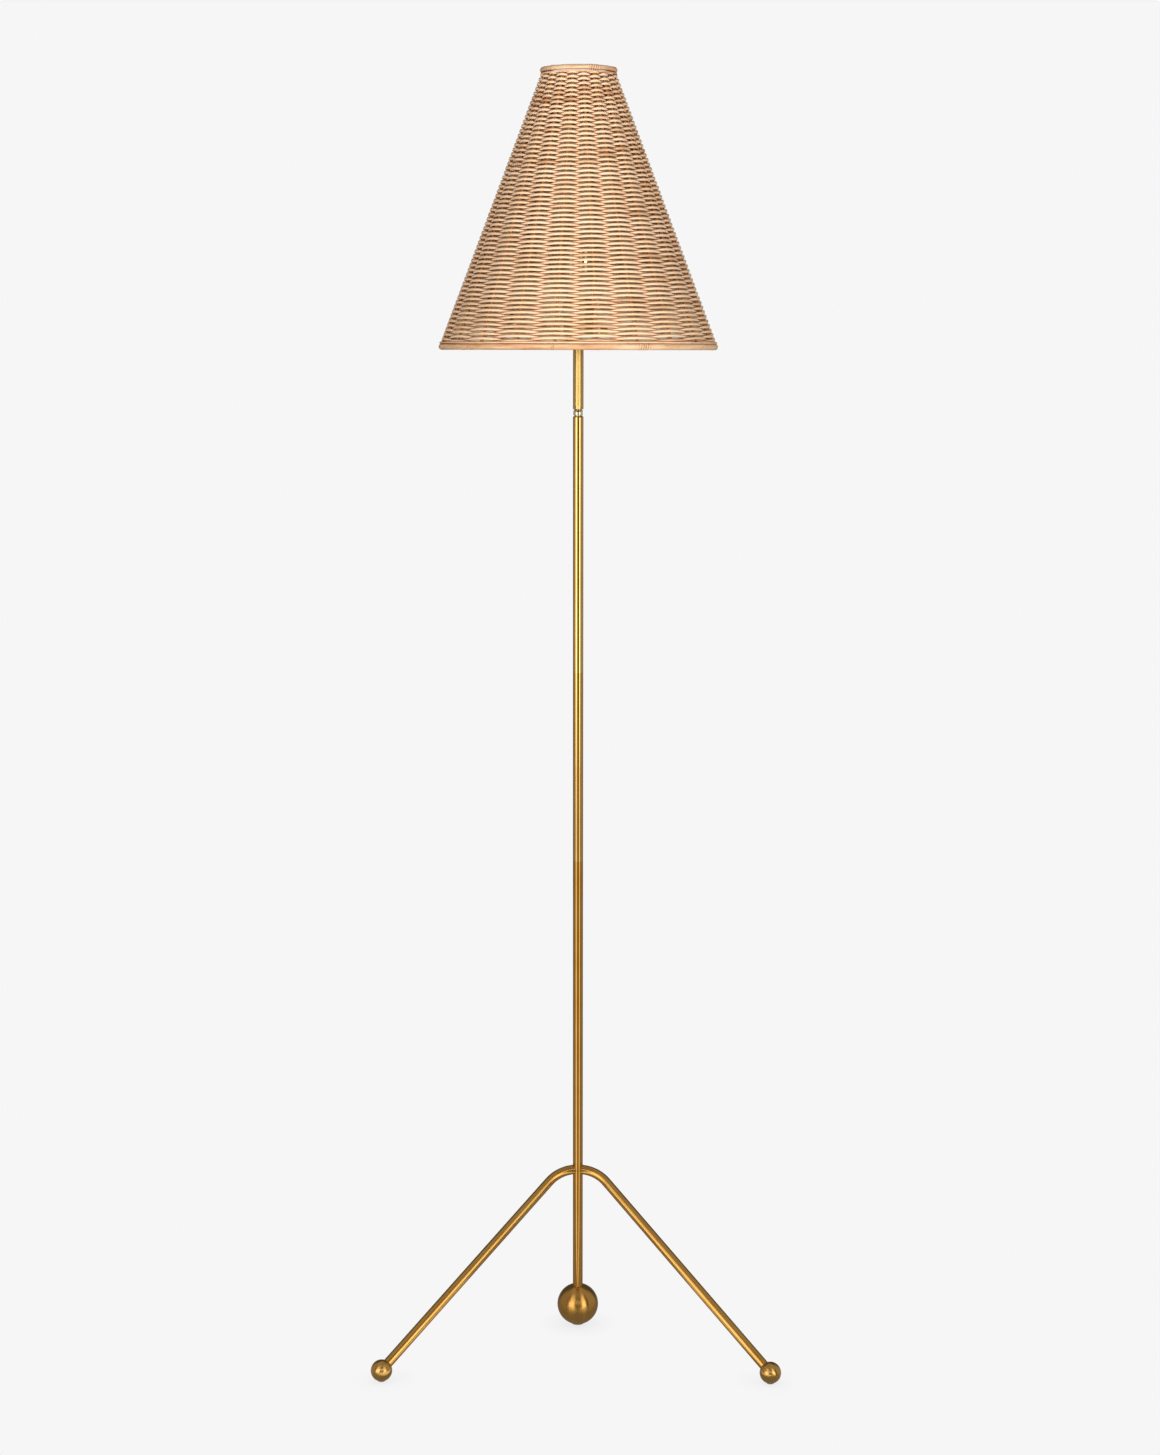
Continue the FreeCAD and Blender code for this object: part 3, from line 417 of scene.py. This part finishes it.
def filament_material():
    """A lit filament stick, phosphor-coated, that glows warm white and hides its own form."""
    made, tree = new_material("glowing_phosphor")
    glow = bpy.context.scene.lamp_colours.glow
    place = node(tree, "ShaderNodeTexCoord").outputs["Object"]
    low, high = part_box("bulb_filaments")
    # One stick carries more current than the others, and it is hottest at mid length.
    hottest = (high.x - MM, middle("bulb_filaments").y, (low.z + high.z) / 2)
    away = node(
        tree, "ShaderNodeVectorMath", {"operation": "DISTANCE"}, {1: hottest}, {0: place}
    ).outputs["Value"]
    power = node(
        tree, "ShaderNodeMapRange", {"interpolation_type": "SMOOTHSTEP"},
        {"From Min": 0.0, "From Max": HOT_REACH, "To Min": HOT_LIGHT, "To Max": STICK_LIGHT}, {"Value": away},
    ).outputs["Result"]
    light = node(tree, "ShaderNodeEmission", inputs={"Color": (*glow, 1)}, links={"Strength": power})
    finish_material(tree, light.outputs[0])
    return made


def paint(material, *nodes):
    """Gives CAD nodes their finish."""
    for name in nodes:
        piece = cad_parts[name]
        piece.data.materials.clear()
        piece.data.materials.append(material)


# ---------------------------------------------------------------- the shade's form


class Cone:
    """The shade's wall as the CAD frame holds it, with the line that its stakes follow."""

    def __init__(self, settings):
        low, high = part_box("shade_weave")
        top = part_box("shade_top_hoop")[1]
        self.low, self.high = low.z, high.z
        self.low_r = high.x
        self.high_r = top.x - settings.hoop_proud
        self.height = self.high - self.low
        self.slant = math.hypot(self.height, self.low_r - self.high_r)
        self.rise = self.height / self.slant
        self.taper = (self.low_r - self.high_r) / self.slant
        self.depth = settings.strand_diameter / 2 + settings.weave_depth

    def point(self, azimuth, travel, offset):
        """Points at an azimuth, a distance up the slope and an offset out from the stakes' line."""
        radius = self.low_r - self.taper * travel - self.depth * self.rise + offset * self.rise
        height = self.low + self.rise * travel + (offset - self.depth) * self.taper
        return np.stack([radius * np.cos(azimuth), radius * np.sin(azimuth), height], -1)

    def outward(self, azimuth):
        flat = np.full(np.shape(azimuth), self.rise)
        return np.stack([flat * np.cos(azimuth), flat * np.sin(azimuth), flat * 0 + self.taper], -1)


STRAND_SIDES = 6
# Steps from stake to stake, for the wide lower turns and for the narrow upper ones.
STEPS_LOW, STEPS_HIGH = 8, 5
LOW_SHARE = 0.5


class LAMP_OT_weave(bpy.types.Operator):
    """Weaves one round strand in a spiral in front of and behind the stakes, from hoop to hoop"""

    bl_idname = "lamp.weave"
    bl_label = "Weave the shade"

    def execute(self, context):
        settings = context.scene.lamp_shade
        cone = Cone(settings)
        low_turns = round(settings.rows * LOW_SHARE)
        reed = rattan_material("rattan_reed_lacquered", "reed_mm")
        for name, start, end, steps in (
            ("woven_strand_lower", 0, low_turns, STEPS_LOW),
            ("woven_strand_upper", low_turns, settings.rows, STEPS_HIGH),
        ):
            per_turn = settings.stakes * steps
            turns = start + np.arange((end - start) * per_turn + 1) / per_turn
            points, outward, thick, tall = self.strand(settings, cone, turns)
            vertices, faces = sweep(points, outward, thick, tall, STRAND_SIDES)
            weave = new_object(name, vertices, faces, "shade_head")
            self.add_maps(weave.data, points, per_turn, end - start, settings)
            self.add_tone(weave.data, turns)
            weave.data.materials.append(reed)
            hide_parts("shade_weave")
        return {"FINISHED"}

    @staticmethod
    def strand(settings, cone, turns):
        """The strand's centre line, its outward direction and its two half sizes."""
        radius = settings.strand_diameter / 2
        ends = 2 * radius
        lay = math.pi * settings.stakes * turns
        # The strand lies flat over each stake and crosses quickly between two of them.
        swing = (np.cos(lay) - 0.06 * np.cos(3 * lay)) / 0.94
        travel = radius + turns / settings.rows * (cone.slant - ends)
        travel = travel + MM * (0.10 * wander(turns, 0.11, 1) + 0.10 * wander(turns, 0.9, 2))
        azimuth = settings.first_stake + TURN * turns
        # The first turns over the hoop lie less evenly.
        travel = travel + 0.3 * MM * np.exp(-turns / 3) * wander(turns, 0.021, 6)
        # The rows are packed tighter at the back (+Y), so that less daylight passes, and looser in front.
        back = np.clip(0.45 + 1.5 * np.sin(azimuth), -0.3, 1)
        travel = travel - settings.packing / 2 * back * swing
        travel = np.clip(travel, radius, cone.slant - radius)
        depth = settings.weave_depth * (0.95 + 0.05 * wander(turns, 0.07, 3))
        points = cone.point(azimuth, travel, swing * depth)
        size = radius * (0.98 + 0.03 * wander(turns, 0.08, 4) + 0.02 * wander(turns, 1.7, 5))
        # Pulled tight, it flattens on each stake.
        tall = 1.02 + 0.13 * np.clip(back, 0, 1) + 0.28 * np.abs(swing)
        return points, cone.outward(azimuth), size, size * tall

    @staticmethod
    def add_maps(mesh, points, per_turn, rows, settings):
        """One map in millimetres for the pores, and one that lays each turn out as its own row."""
        spans = np.arange(len(points) - 1)
        along = np.concatenate([[0], np.cumsum(np.linalg.norm(np.diff(points, axis=0), axis=1))]) / MM
        around = settings.strand_diameter * math.pi / MM / STRAND_SIDES
        side = np.arange(STRAND_SIDES)
        ends = np.stack([spans, spans, spans + 1, spans + 1], 1)[:, None] + 0 * side[None, :, None]
        sides = np.stack([side, side + 1, side + 1, side], 1)[None] + 0 * spans[:, None, None]
        row = (spans // per_turn)[:, None, None]
        millimetres = np.stack([along[ends], sides * around], -1).reshape(-1, 2)
        laid = np.stack([(ends - row * per_turn) / per_turn, (row + sides / STRAND_SIDES) / rows], -1)
        for name, values in (("OFBake", laid.reshape(-1, 2)), ("reed_mm", millimetres)):
            layer = mesh.uv_layers.new(name=name)
            flat = np.zeros((len(mesh.loops), 2), np.float32)
            flat[: len(values)] = values
            layer.data.foreach_set("uv", flat.ravel())

    @staticmethod
    def add_tone(mesh, turns):
        """A tone for each length of reed, a few turns long, that drifts slowly along it."""
        tone = 0.42 + 0.16 * wander(turns, 2.6, 11)
        tone = tone + 0.14 * wander(turns, 0.35, 12) + 0.1 * wander(turns, 0.05, 13)
        attribute = mesh.attributes.new("reed_tone", "FLOAT", "POINT")
        attribute.data.foreach_set("value", np.repeat(tone, STRAND_SIDES).astype(np.float32))


# ---------------------------------------------------------------- hoops


def add_flat_maps(mesh, count, sides, along_mm, around_mm):
    """The pore map in millimetres for a closed ring of quads, then nothing on what follows it."""
    spans, side = np.arange(count), np.arange(sides)
    ends = np.stack([spans, spans, spans + 1, spans + 1], 1)[:, None] + 0 * side[None, :, None]
    turns = np.stack([side, side + 1, side + 1, side], 1)[None] + 0 * spans[:, None, None]
    values = np.stack([ends * along_mm, turns * around_mm], -1).reshape(-1, 2)
    layer = mesh.uv_layers.new(name="reed_mm")
    flat = np.zeros((len(mesh.loops), 2), np.float32)
    flat[: len(values)] = values
    rest = np.arange(len(mesh.loops) - len(values))
    flat[len(values) :, 0] = rest * 0.37
    flat[len(values) :, 1] = rest % 7 * 0.3
    layer.data.foreach_set("uv", flat.ravel())


class Hoop:
    """A round cane hoop with its lashings, from the box of its CAD ring."""

    SPANS = 252
    SIDES = 16

    def __init__(self, cad_node, seed):
        low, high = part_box(cad_node)
        self.section = (high.z - low.z) / 2
        self.radius = high.x - self.section
        self.height = (high.z + low.z) / 2
        self.seed = seed

    def ring(self):
        azimuth = np.arange(self.SPANS) * TURN / self.SPANS
        wobble = wander(azimuth, 0.5, self.seed) * np.sin(azimuth / 2) ** 0.5
        radius = self.radius - 0.12 * MM * (1 + wobble)
        height = self.height + 0.1 * MM * wobble
        points = np.stack([radius * np.cos(azimuth), radius * np.sin(azimuth), height], -1)
        outward = np.stack([np.cos(azimuth), np.sin(azimuth), azimuth * 0], -1)
        thick = self.section * (0.965 + 0.012 * wobble)
        return sweep(points, outward, thick * 0.97, thick, self.SIDES, closed=True)

    def binder(self, cone, travel, side, size):
        """A plain strand that runs round in front of the weave or behind it, next to the hoop."""
        azimuth = np.arange(self.SPANS) * TURN / self.SPANS
        ease = np.sin(azimuth / 2) ** 0.5 * MM
        travel = travel + 0.3 * ease * wander(azimuth, 0.35, self.seed + 1)
        points = cone.point(azimuth, travel, side + 0.2 * ease * wander(azimuth, 0.2, self.seed + 2))
        return sweep(points, cone.outward(azimuth), size, size, 8, closed=True)

    def lashing(self, start, turns, pitch, width):
        """Split cane wound round the hoop a few times, at an azimuth."""
        count = int(turns * 14) + 1
        wound = np.arange(count) / (count - 1) * turns
        azimuth = start + wound * pitch / self.radius
        angle = TURN * wound + 0.6
        reach = self.section * 0.985
        out, up = np.cos(angle), np.sin(angle)
        radius = self.radius + reach * out
        points = np.stack([radius * np.cos(azimuth), radius * np.sin(azimuth), self.height + reach * up], -1)
        outward = np.stack([out * np.cos(azimuth), out * np.sin(azimuth), up], -1)
        return sweep(points, outward, 0.3 * MM, width / 2, 6)


class LAMP_OT_hoops(bpy.types.Operator):
    """Bends a round cane hoop for each edge of the shade and lashes its scarf joint"""

    bl_idname = "lamp.hoops"
    bl_label = "Make the hoops"

    def execute(self, context):
        settings = context.scene.lamp_shade
        cane = rattan_material("cane_hoop_lacquered", "reed_mm")
        cone = Cone(settings)
        strand = settings.strand_diameter / 2 * 0.9
        for name, cad_node, scarf, ties, seed, edge in (
            ("bottom_hoop", "shade_bottom_hoop", math.radians(295), 9, 21, strand),
            ("top_hoop", "shade_top_hoop", math.radians(285), 5, 22, cone.slant - strand),
        ):
            hoop = Hoop(cad_node, seed)
            width = settings.lashing_width
            parts = [hoop.ring(), hoop.lashing(scarf, 5, width * 1.5, width)]
            for tie in range(ties):
                place = scarf + TURN * (tie + 1) / (ties + 1) + 0.05 * math.sin(tie * 2.4)
                parts.append(hoop.lashing(place, 1.4, width * 1.2, width))
            for side in (settings.weave_depth, -settings.weave_depth):
                parts.append(hoop.binder(cone, edge, side, strand))
            vertices, faces = merge(parts)
            piece = new_object(name, vertices, faces, "shade_head")
            step = TURN * hoop.radius / hoop.SPANS / MM
            add_flat_maps(piece.data, hoop.SPANS, hoop.SIDES, step, TURN * hoop.section / hoop.SIDES / MM)
            tone = 0.22 + 0.12 * wander(np.arange(len(vertices)), 900, seed)
            piece.data.attributes.new("reed_tone", "FLOAT", "POINT").data.foreach_set(
                "value", tone.astype(np.float32)
            )
            piece.data.materials.append(cane)
            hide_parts(cad_node)
        return {"FINISHED"}


# ---------------------------------------------------------------- CAD nodes and their finishes


def middle(cad_node):
    low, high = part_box(cad_node)
    return (low + high) / 2


class LAMP_OT_metalwork(bpy.types.Operator):
    """Gives the stand, the swivel and the lamp holder their burnished brass and steel"""

    bl_idname = "lamp.metalwork"
    bl_label = "Finish the metalwork"

    def execute(self, context):
        stem_axis = (middle("tilt_washer") - middle("rear_ball")).normalized()
        upright = Vector((0, 0, 1))
        # The stem's sections go from a pale gold at the top to a deeper gold at the bottom.
        for cad_node, gold_depth in (("stem_lower", 0.85), ("stem_middle", 0.5), ("stem_upper", 0.15)):
            tube = brass_material(f"burnished_brass_{cad_node}", stem_axis, roughness=0.1, gold_depth=gold_depth, lay=0.6)
            paint(tube, cad_node)
        ball = brass_material("turned_brass_rear_ball", stem_axis, roughness=0.25, gold_depth=0.7, lay=0.9)
        paint(ball, "rear_ball")
        core = brass_material("turned_brass_core", stem_axis, gold_depth=0.5)
        paint(core, "stem_coupler_lower", "stem_coupler_upper", "hub_core", "leg_spigots", "rear_stud_plug")
        for word in ("left", "right"):
            foot = middle(f"foot_ball_{word}")
            # The straight of the leg runs from the ball towards the bend.
            low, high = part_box(f"leg_{word}")
            bend = Vector((low.x + high.x - foot.x, high.y, high.z))
            axis = (bend - foot).normalized()
            leg = brass_material(f"burnished_brass_leg_{word}", axis, roughness=0.2, gold_depth=0.75, lay=0.6)
            paint(leg, f"leg_{word}")
            turned = brass_material(f"turned_brass_foot_{word}", axis, roughness=0.22, gold_depth=0.5, lay=0.9)
            paint(turned, f"foot_ball_{word}")
        paint(brass_material("polished_brass_rod", upright, roughness=0.22, gold_depth=0.0, lay=0.3), "upper_rod")
        holder = brass_material("spun_brass_holder", upright, roughness=0.3)
        paint(holder, "socket_cap", "socket_shell", "shade_clamp_ring", "socket_locknut", "rod_nipple")
        # Painted highlight: the swivel's ball is painted pale where its halves turn, between the collars.
        low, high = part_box("tilt_washer")
        swivel = brass_material(
            "polished_brass_swivel_painted_highlight", upright, roughness=0.16, gold_depth=0.1, lay=0.2, bright=(low.z, high.z)
        )
        paint(swivel, "swivel_upper", "swivel_lower", "tilt_screw", "leg_end_plugs")
        paint(brass_material("turned_brass_knob", Vector((1, 0, 0)), roughness=0.3), "switch_knob")
        # Bright mild steel, turned: cool grey with a fine grain.
        steel = plain_material("turned_mild_steel", "#A9A9AC", 0.32, metallic=1.0, grain_mm=0.3)
        paint(steel, "rear_ball_stud", "foot_studs", "switch_shaft")
        # Powder-coated steel wire: warm white, with the slight orange peel of the coat.
        wire = plain_material("powder_coated_wire", "#E4DCCB", 0.5, grain_mm=1.2, contrast=0.06, bump=0.3)
        paint(wire, "frame_wire_bottom", "frame_wire_top", "fitter_ring", "fitter_arms")
        # Nickel-plated lamp parts: pale and slightly dull.
        plated = plain_material("nickel_plated_brass", "#C9C6BE", 0.3, metallic=1.0, grain_mm=0.5)
        paint(plated, "lamp_screw_sleeve", "lamp_contact", "bulb_base")
        return {"FINISHED"}


class LAMP_OT_small_parts(bpy.types.Operator):
    """Gives the stakes, the bulb, the insulators and the felt pads their finishes"""

    bl_idname = "lamp.small_parts"
    bl_label = "Finish the small parts"

    def execute(self, context):
        # Rattan stakes: straight and dry, with a fine straw grain, in a dark brown that paints the shade seen
        # in the gaps between the strands.
        stake = plain_material("rattan_stake_painted_shade", "#9A6236", 0.6, grain_mm=0.8, contrast=0.15, shine=0.1)
        paint(stake, "shade_stakes")
        paint(glass_material(), "bulb_glass", "bulb_glass_stem")
        paint(filament_material(), "bulb_filaments")
        # Moulded phenolic: near black with a faint mottle and a low gloss.
        phenolic = plain_material("moulded_phenolic", "#1B1816", 0.42, grain_mm=1.5)
        paint(phenolic, "socket_insert", "cord_bushing")
        # Vulcanised fibre washer: dark brown and matt.
        paint(plain_material("vulcanised_fibre", "#3A2A20", 0.7), "tilt_washer")
        # Pressed wool felt: brown-grey fibres with no sheen.
        felt = plain_material("pressed_wool_felt", "#5B5048", 0.95, grain_mm=0.25, contrast=0.5, bump=0.8)
        paint(felt, "rear_glide_pad", "front_glide_pads")
        return {"FINISHED"}


# ---------------------------------------------------------------- studio

CAMERA_AZIMUTH = math.radians(0.7)
CAMERA_ROLL = math.radians(0.09)
CAMERA_AIM = math.radians(-0.05)
CAMERA_DISTANCE = 2.865
CAMERA_TILT = math.radians(8.26)
FOCAL_SHARE = 2600 / 1455
SENSOR = 36.0
# Bright panels round the set, as seen in polished metal: azimuth from the camera's side in
# degrees, half its width, and its brightness. The rest of the set is dark flags.
SIDE_PANELS = ((-97, 30, 0.34), (97, 30, 0.4))
# Tiers of panels from the floor up: each one's upper edge in metres and its front panels.
TIERS = (
    (0.95, ((-40, 19, 2.4), (38, 12, 2.8))),
    (1.35, ((0, 46, 1.7),)),
    (3.2, ((-40, 20, 1.1), (39, 14, 1.3))),
)
PANEL_EDGE = 7
FLAG_LIGHT = 0.1
ROOF_LIGHT = 0.4
# What the glossy paper gives back: a share of the panels over a plain tone.
PAPER_SHINE, PAPER_TONE = 0.45, 0.18
# The wall of panels stands this far out, in so many sectors, just clear of the floor.
SURROUND_RADIUS, SURROUND_SECTORS, SURROUND_LIFT = 2.3, 120, 0.0004
# What the room and the floor give to everything but the camera.
ROOM_DIM, FLOOR_DIM = 0.05, 0.06
# Soft lights: name, azimuth from the camera's side in degrees, height and size in metres, watts.
LIGHTS = (
    ("key_light", 30, 0.95, 1.5, 80),
    ("fill_light", -34, 0.9, 1.5, 70),
    ("back_light", 180, 1.6, 1.6, 30),
)
LIGHT_DISTANCE = 2.6
LIGHT_AIM = (0, 0, 0.95)
# Contact shadows: their tone, and their reach in metres, about as far as the balls are tall.
SHADOW_TONE, SHADOW_REACH = "#E6E6E6", 0.03


def panel_light(azimuth, panels):
    """Brightness of one tier at an azimuth from the camera's side, in degrees."""
    light = FLAG_LIGHT
    for centre, half, bright in panels + SIDE_PANELS:
        away = abs((azimuth - centre + 180) % 360 - 180)
        light = max(light, bright * min(1, max(0, (half + PANEL_EDGE / 2 - away) / PANEL_EDGE)))
    return light


class LAMP_OT_studio(bpy.types.Operator):
    """Sets up the pale paper floor, the soft lights with their dark flags, and the camera"""

    bl_idname = "lamp.studio"
    bl_label = "Set up the studio"

    def execute(self, context):
        scene = context.scene
        scene.view_settings.view_transform = "Standard"
        self.make_world(scene)
        self.make_floor(scene)
        self.make_surround(scene)
        for name, azimuth, height, size, power in LIGHTS:
            self.make_light(scene, name, azimuth, height, size, power)
        self.make_camera(scene)
        return {"FINISHED"}

    @staticmethod
    def make_world(scene):
        world = bpy.data.worlds.new("pale_paper_room")
        world.use_nodes = True
        tree = world.node_tree
        tree.nodes.clear()
        ground = (*scene.lamp_colours.ground, 1)
        seen = node(tree, "ShaderNodeLightPath").outputs["Is Camera Ray"]
        dim = node(tree, "ShaderNodeBackground", inputs={"Color": ground, "Strength": ROOM_DIM})
        plain = node(tree, "ShaderNodeBackground", inputs={"Color": ground, "Strength": 1.0})
        mixed = node(tree, "ShaderNodeMixShader", links={"Fac": seen})
        tree.links.new(dim.outputs[0], mixed.inputs[1])
        tree.links.new(plain.outputs[0], mixed.inputs[2])
        node(tree, "ShaderNodeOutputWorld", links={"Surface": mixed.outputs[0]})
        scene.world = world

    @staticmethod
    def make_floor(scene):
        """A wide disc of self-lit paper, so that it keeps an even pale tone right up to the feet."""
        spokes = np.arange(64) * TURN / 64
        rim = np.stack([np.cos(spokes) * 9, np.sin(spokes) * 9, spokes * 0], -1)
        mesh = bpy.data.meshes.new("paper_floor")
        mesh.from_pydata(rim, [], [list(range(64))])
        floor = bpy.data.objects.new("paper_floor", mesh)
        scene.collection.objects.link(floor)
        made, tree = new_material("seamless_paper")
        ground = (*scene.lamp_colours.ground, 1)
        open_air = node(
            tree, "ShaderNodeAmbientOcclusion", {"samples": 8}, {"Distance": SHADOW_REACH}
        ).outputs["AO"]
        shadow = node(
            tree, "ShaderNodeMix", {"data_type": "RGBA"},
            {"A": (*linear(SHADOW_TONE), 1), "B": ground}, {"Factor": open_air},
        ).outputs["Result"]
        seen = node(tree, "ShaderNodeLightPath").outputs["Is Camera Ray"]
        dim = node(tree, "ShaderNodeEmission", inputs={"Color": ground, "Strength": FLOOR_DIM})
        plain = node(tree, "ShaderNodeEmission", inputs={"Strength": 1.0}, links={"Color": shadow})
        mixed = node(tree, "ShaderNodeMixShader", links={"Fac": seen})
        tree.links.new(dim.outputs[0], mixed.inputs[1])
        tree.links.new(plain.outputs[0], mixed.inputs[2])
        finish_material(tree, mixed.outputs[0])
        mesh.materials.append(made)

    @staticmethod
    def make_surround(scene):
        """What polished metal sees: tiers of soft panels between dark flags, and the glossy paper."""
        sectors, radius, lift = SURROUND_SECTORS, SURROUND_RADIUS, SURROUND_LIFT
        heights = [lift] + [top for top, panels in TIERS]
        vertices, faces, lights = [(0, 0, lift), (0, 0, heights[-1])], [], []
        for number in range(sectors):
            turn = TURN * number / sectors
            x, y = radius * math.sin(turn), -radius * math.cos(turn)
            vertices += [(x, y, height) for height in heights]
            here = 2 + len(heights) * number
            there = 2 + len(heights) * ((number + 1) % sectors)
            azimuth = math.degrees(turn - CAMERA_AZIMUTH + TURN / sectors / 2)
            for tier, (top, panels) in enumerate(TIERS):
                faces.append((here + tier, there + tier, there + tier + 1, here + tier + 1))
                lights.append(panel_light(azimuth, panels))
            faces += [(0, there, here), (1, here + len(TIERS), there + len(TIERS))]
            lights += [PAPER_TONE + panel_light(azimuth, TIERS[0][1]) * PAPER_SHINE, ROOF_LIGHT]
        mesh = bpy.data.meshes.new("flags_and_panels")
        mesh.from_pydata(vertices, [], faces)
        level = mesh.attributes.new("panel_light", "FLOAT", "FACE")
        level.data.foreach_set("value", lights)
        surround = bpy.data.objects.new("flags_and_panels", mesh)
        scene.collection.objects.link(surround)
        for ray in ("camera", "diffuse", "shadow", "transmission", "volume_scatter"):
            setattr(surround, f"visible_{ray}", False)
        made, tree = new_material("panel_cloth")
        level = node(tree, "ShaderNodeAttribute", {"attribute_name": "panel_light"}).outputs["Fac"]
        lit = node(tree, "ShaderNodeEmission", inputs={"Color": (1, 0.97, 0.9, 1)}, links={"Strength": level})
        finish_material(tree, lit.outputs[0])
        made.cycles.emission_sampling = "AUTO"
        mesh.materials.append(made)

    @staticmethod
    def make_light(scene, name, azimuth, height, size, power):
        light = bpy.data.lights.new(name, "AREA")
        light.shape = "DISK"
        light.size = size
        light.energy = power
        lamp = bpy.data.objects.new(name, light)
        turn = math.radians(azimuth) + CAMERA_AZIMUTH
        lamp.location = (LIGHT_DISTANCE * math.sin(turn), -LIGHT_DISTANCE * math.cos(turn), height)
        aim = Vector(LIGHT_AIM) - lamp.location
        lamp.rotation_euler = aim.to_track_quat("-Z", "Y").to_euler()
        lamp.visible_glossy = False
        scene.collection.objects.link(lamp)

    @staticmethod
    def make_camera(scene):
        data = bpy.data.cameras.new("camera")
        data.sensor_width = SENSOR
        data.lens = SENSOR * FOCAL_SHARE
        camera = bpy.data.objects.new("camera", data)
        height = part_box("shade_bottom_hoop")[0].z
        camera.location = (
            CAMERA_DISTANCE * math.sin(CAMERA_AZIMUTH),
            -CAMERA_DISTANCE * math.cos(CAMERA_AZIMUTH),
            height,
        )
        turn = Euler((math.pi / 2 - CAMERA_TILT, 0, CAMERA_AZIMUTH + CAMERA_AIM))
        camera.rotation_euler = (turn.to_matrix() @ Euler((0, 0, CAMERA_ROLL)).to_matrix()).to_euler()
        scene.collection.objects.link(camera)
        scene.camera = camera


# ---------------------------------------------------------------- panel and registration

STEPS_IN_ORDER = (LAMP_OT_studio, LAMP_OT_weave, LAMP_OT_hoops, LAMP_OT_metalwork, LAMP_OT_small_parts)


class LAMP_PT_panel(bpy.types.Panel):
    """Lists the lamp's settings and the steps that build it"""

    bl_idname = "LAMP_PT_panel"
    bl_label = "Rattan floor lamp"
    bl_space_type = "VIEW_3D"
    bl_region_type = "UI"
    bl_category = "Lamp"

    def draw(self, context):
        for settings in (context.scene.lamp_shade, context.scene.lamp_colours):
            for name in settings.__annotations__:
                self.layout.prop(settings, name)
        for step in STEPS_IN_ORDER:
            self.layout.operator(step.bl_idname)


CLASSES = (LampShadeSettings, LampColourSettings, *STEPS_IN_ORDER, LAMP_PT_panel)


def register():
    for made in CLASSES:
        bpy.utils.register_class(made)
    bpy.types.Scene.lamp_shade = PointerProperty(type=LampShadeSettings)
    bpy.types.Scene.lamp_colours = PointerProperty(type=LampColourSettings)


def unregister():
    del bpy.types.Scene.lamp_colours
    del bpy.types.Scene.lamp_shade
    for made in reversed(CLASSES):
        bpy.utils.unregister_class(made)


def main():
    register()
    bpy.ops.lamp.studio()
    bpy.ops.lamp.weave()
    bpy.ops.lamp.hoops()
    bpy.ops.lamp.metalwork()
    bpy.ops.lamp.small_parts()
    bpy.context.view_layer.update()


if __name__ == "__main__":
    main()
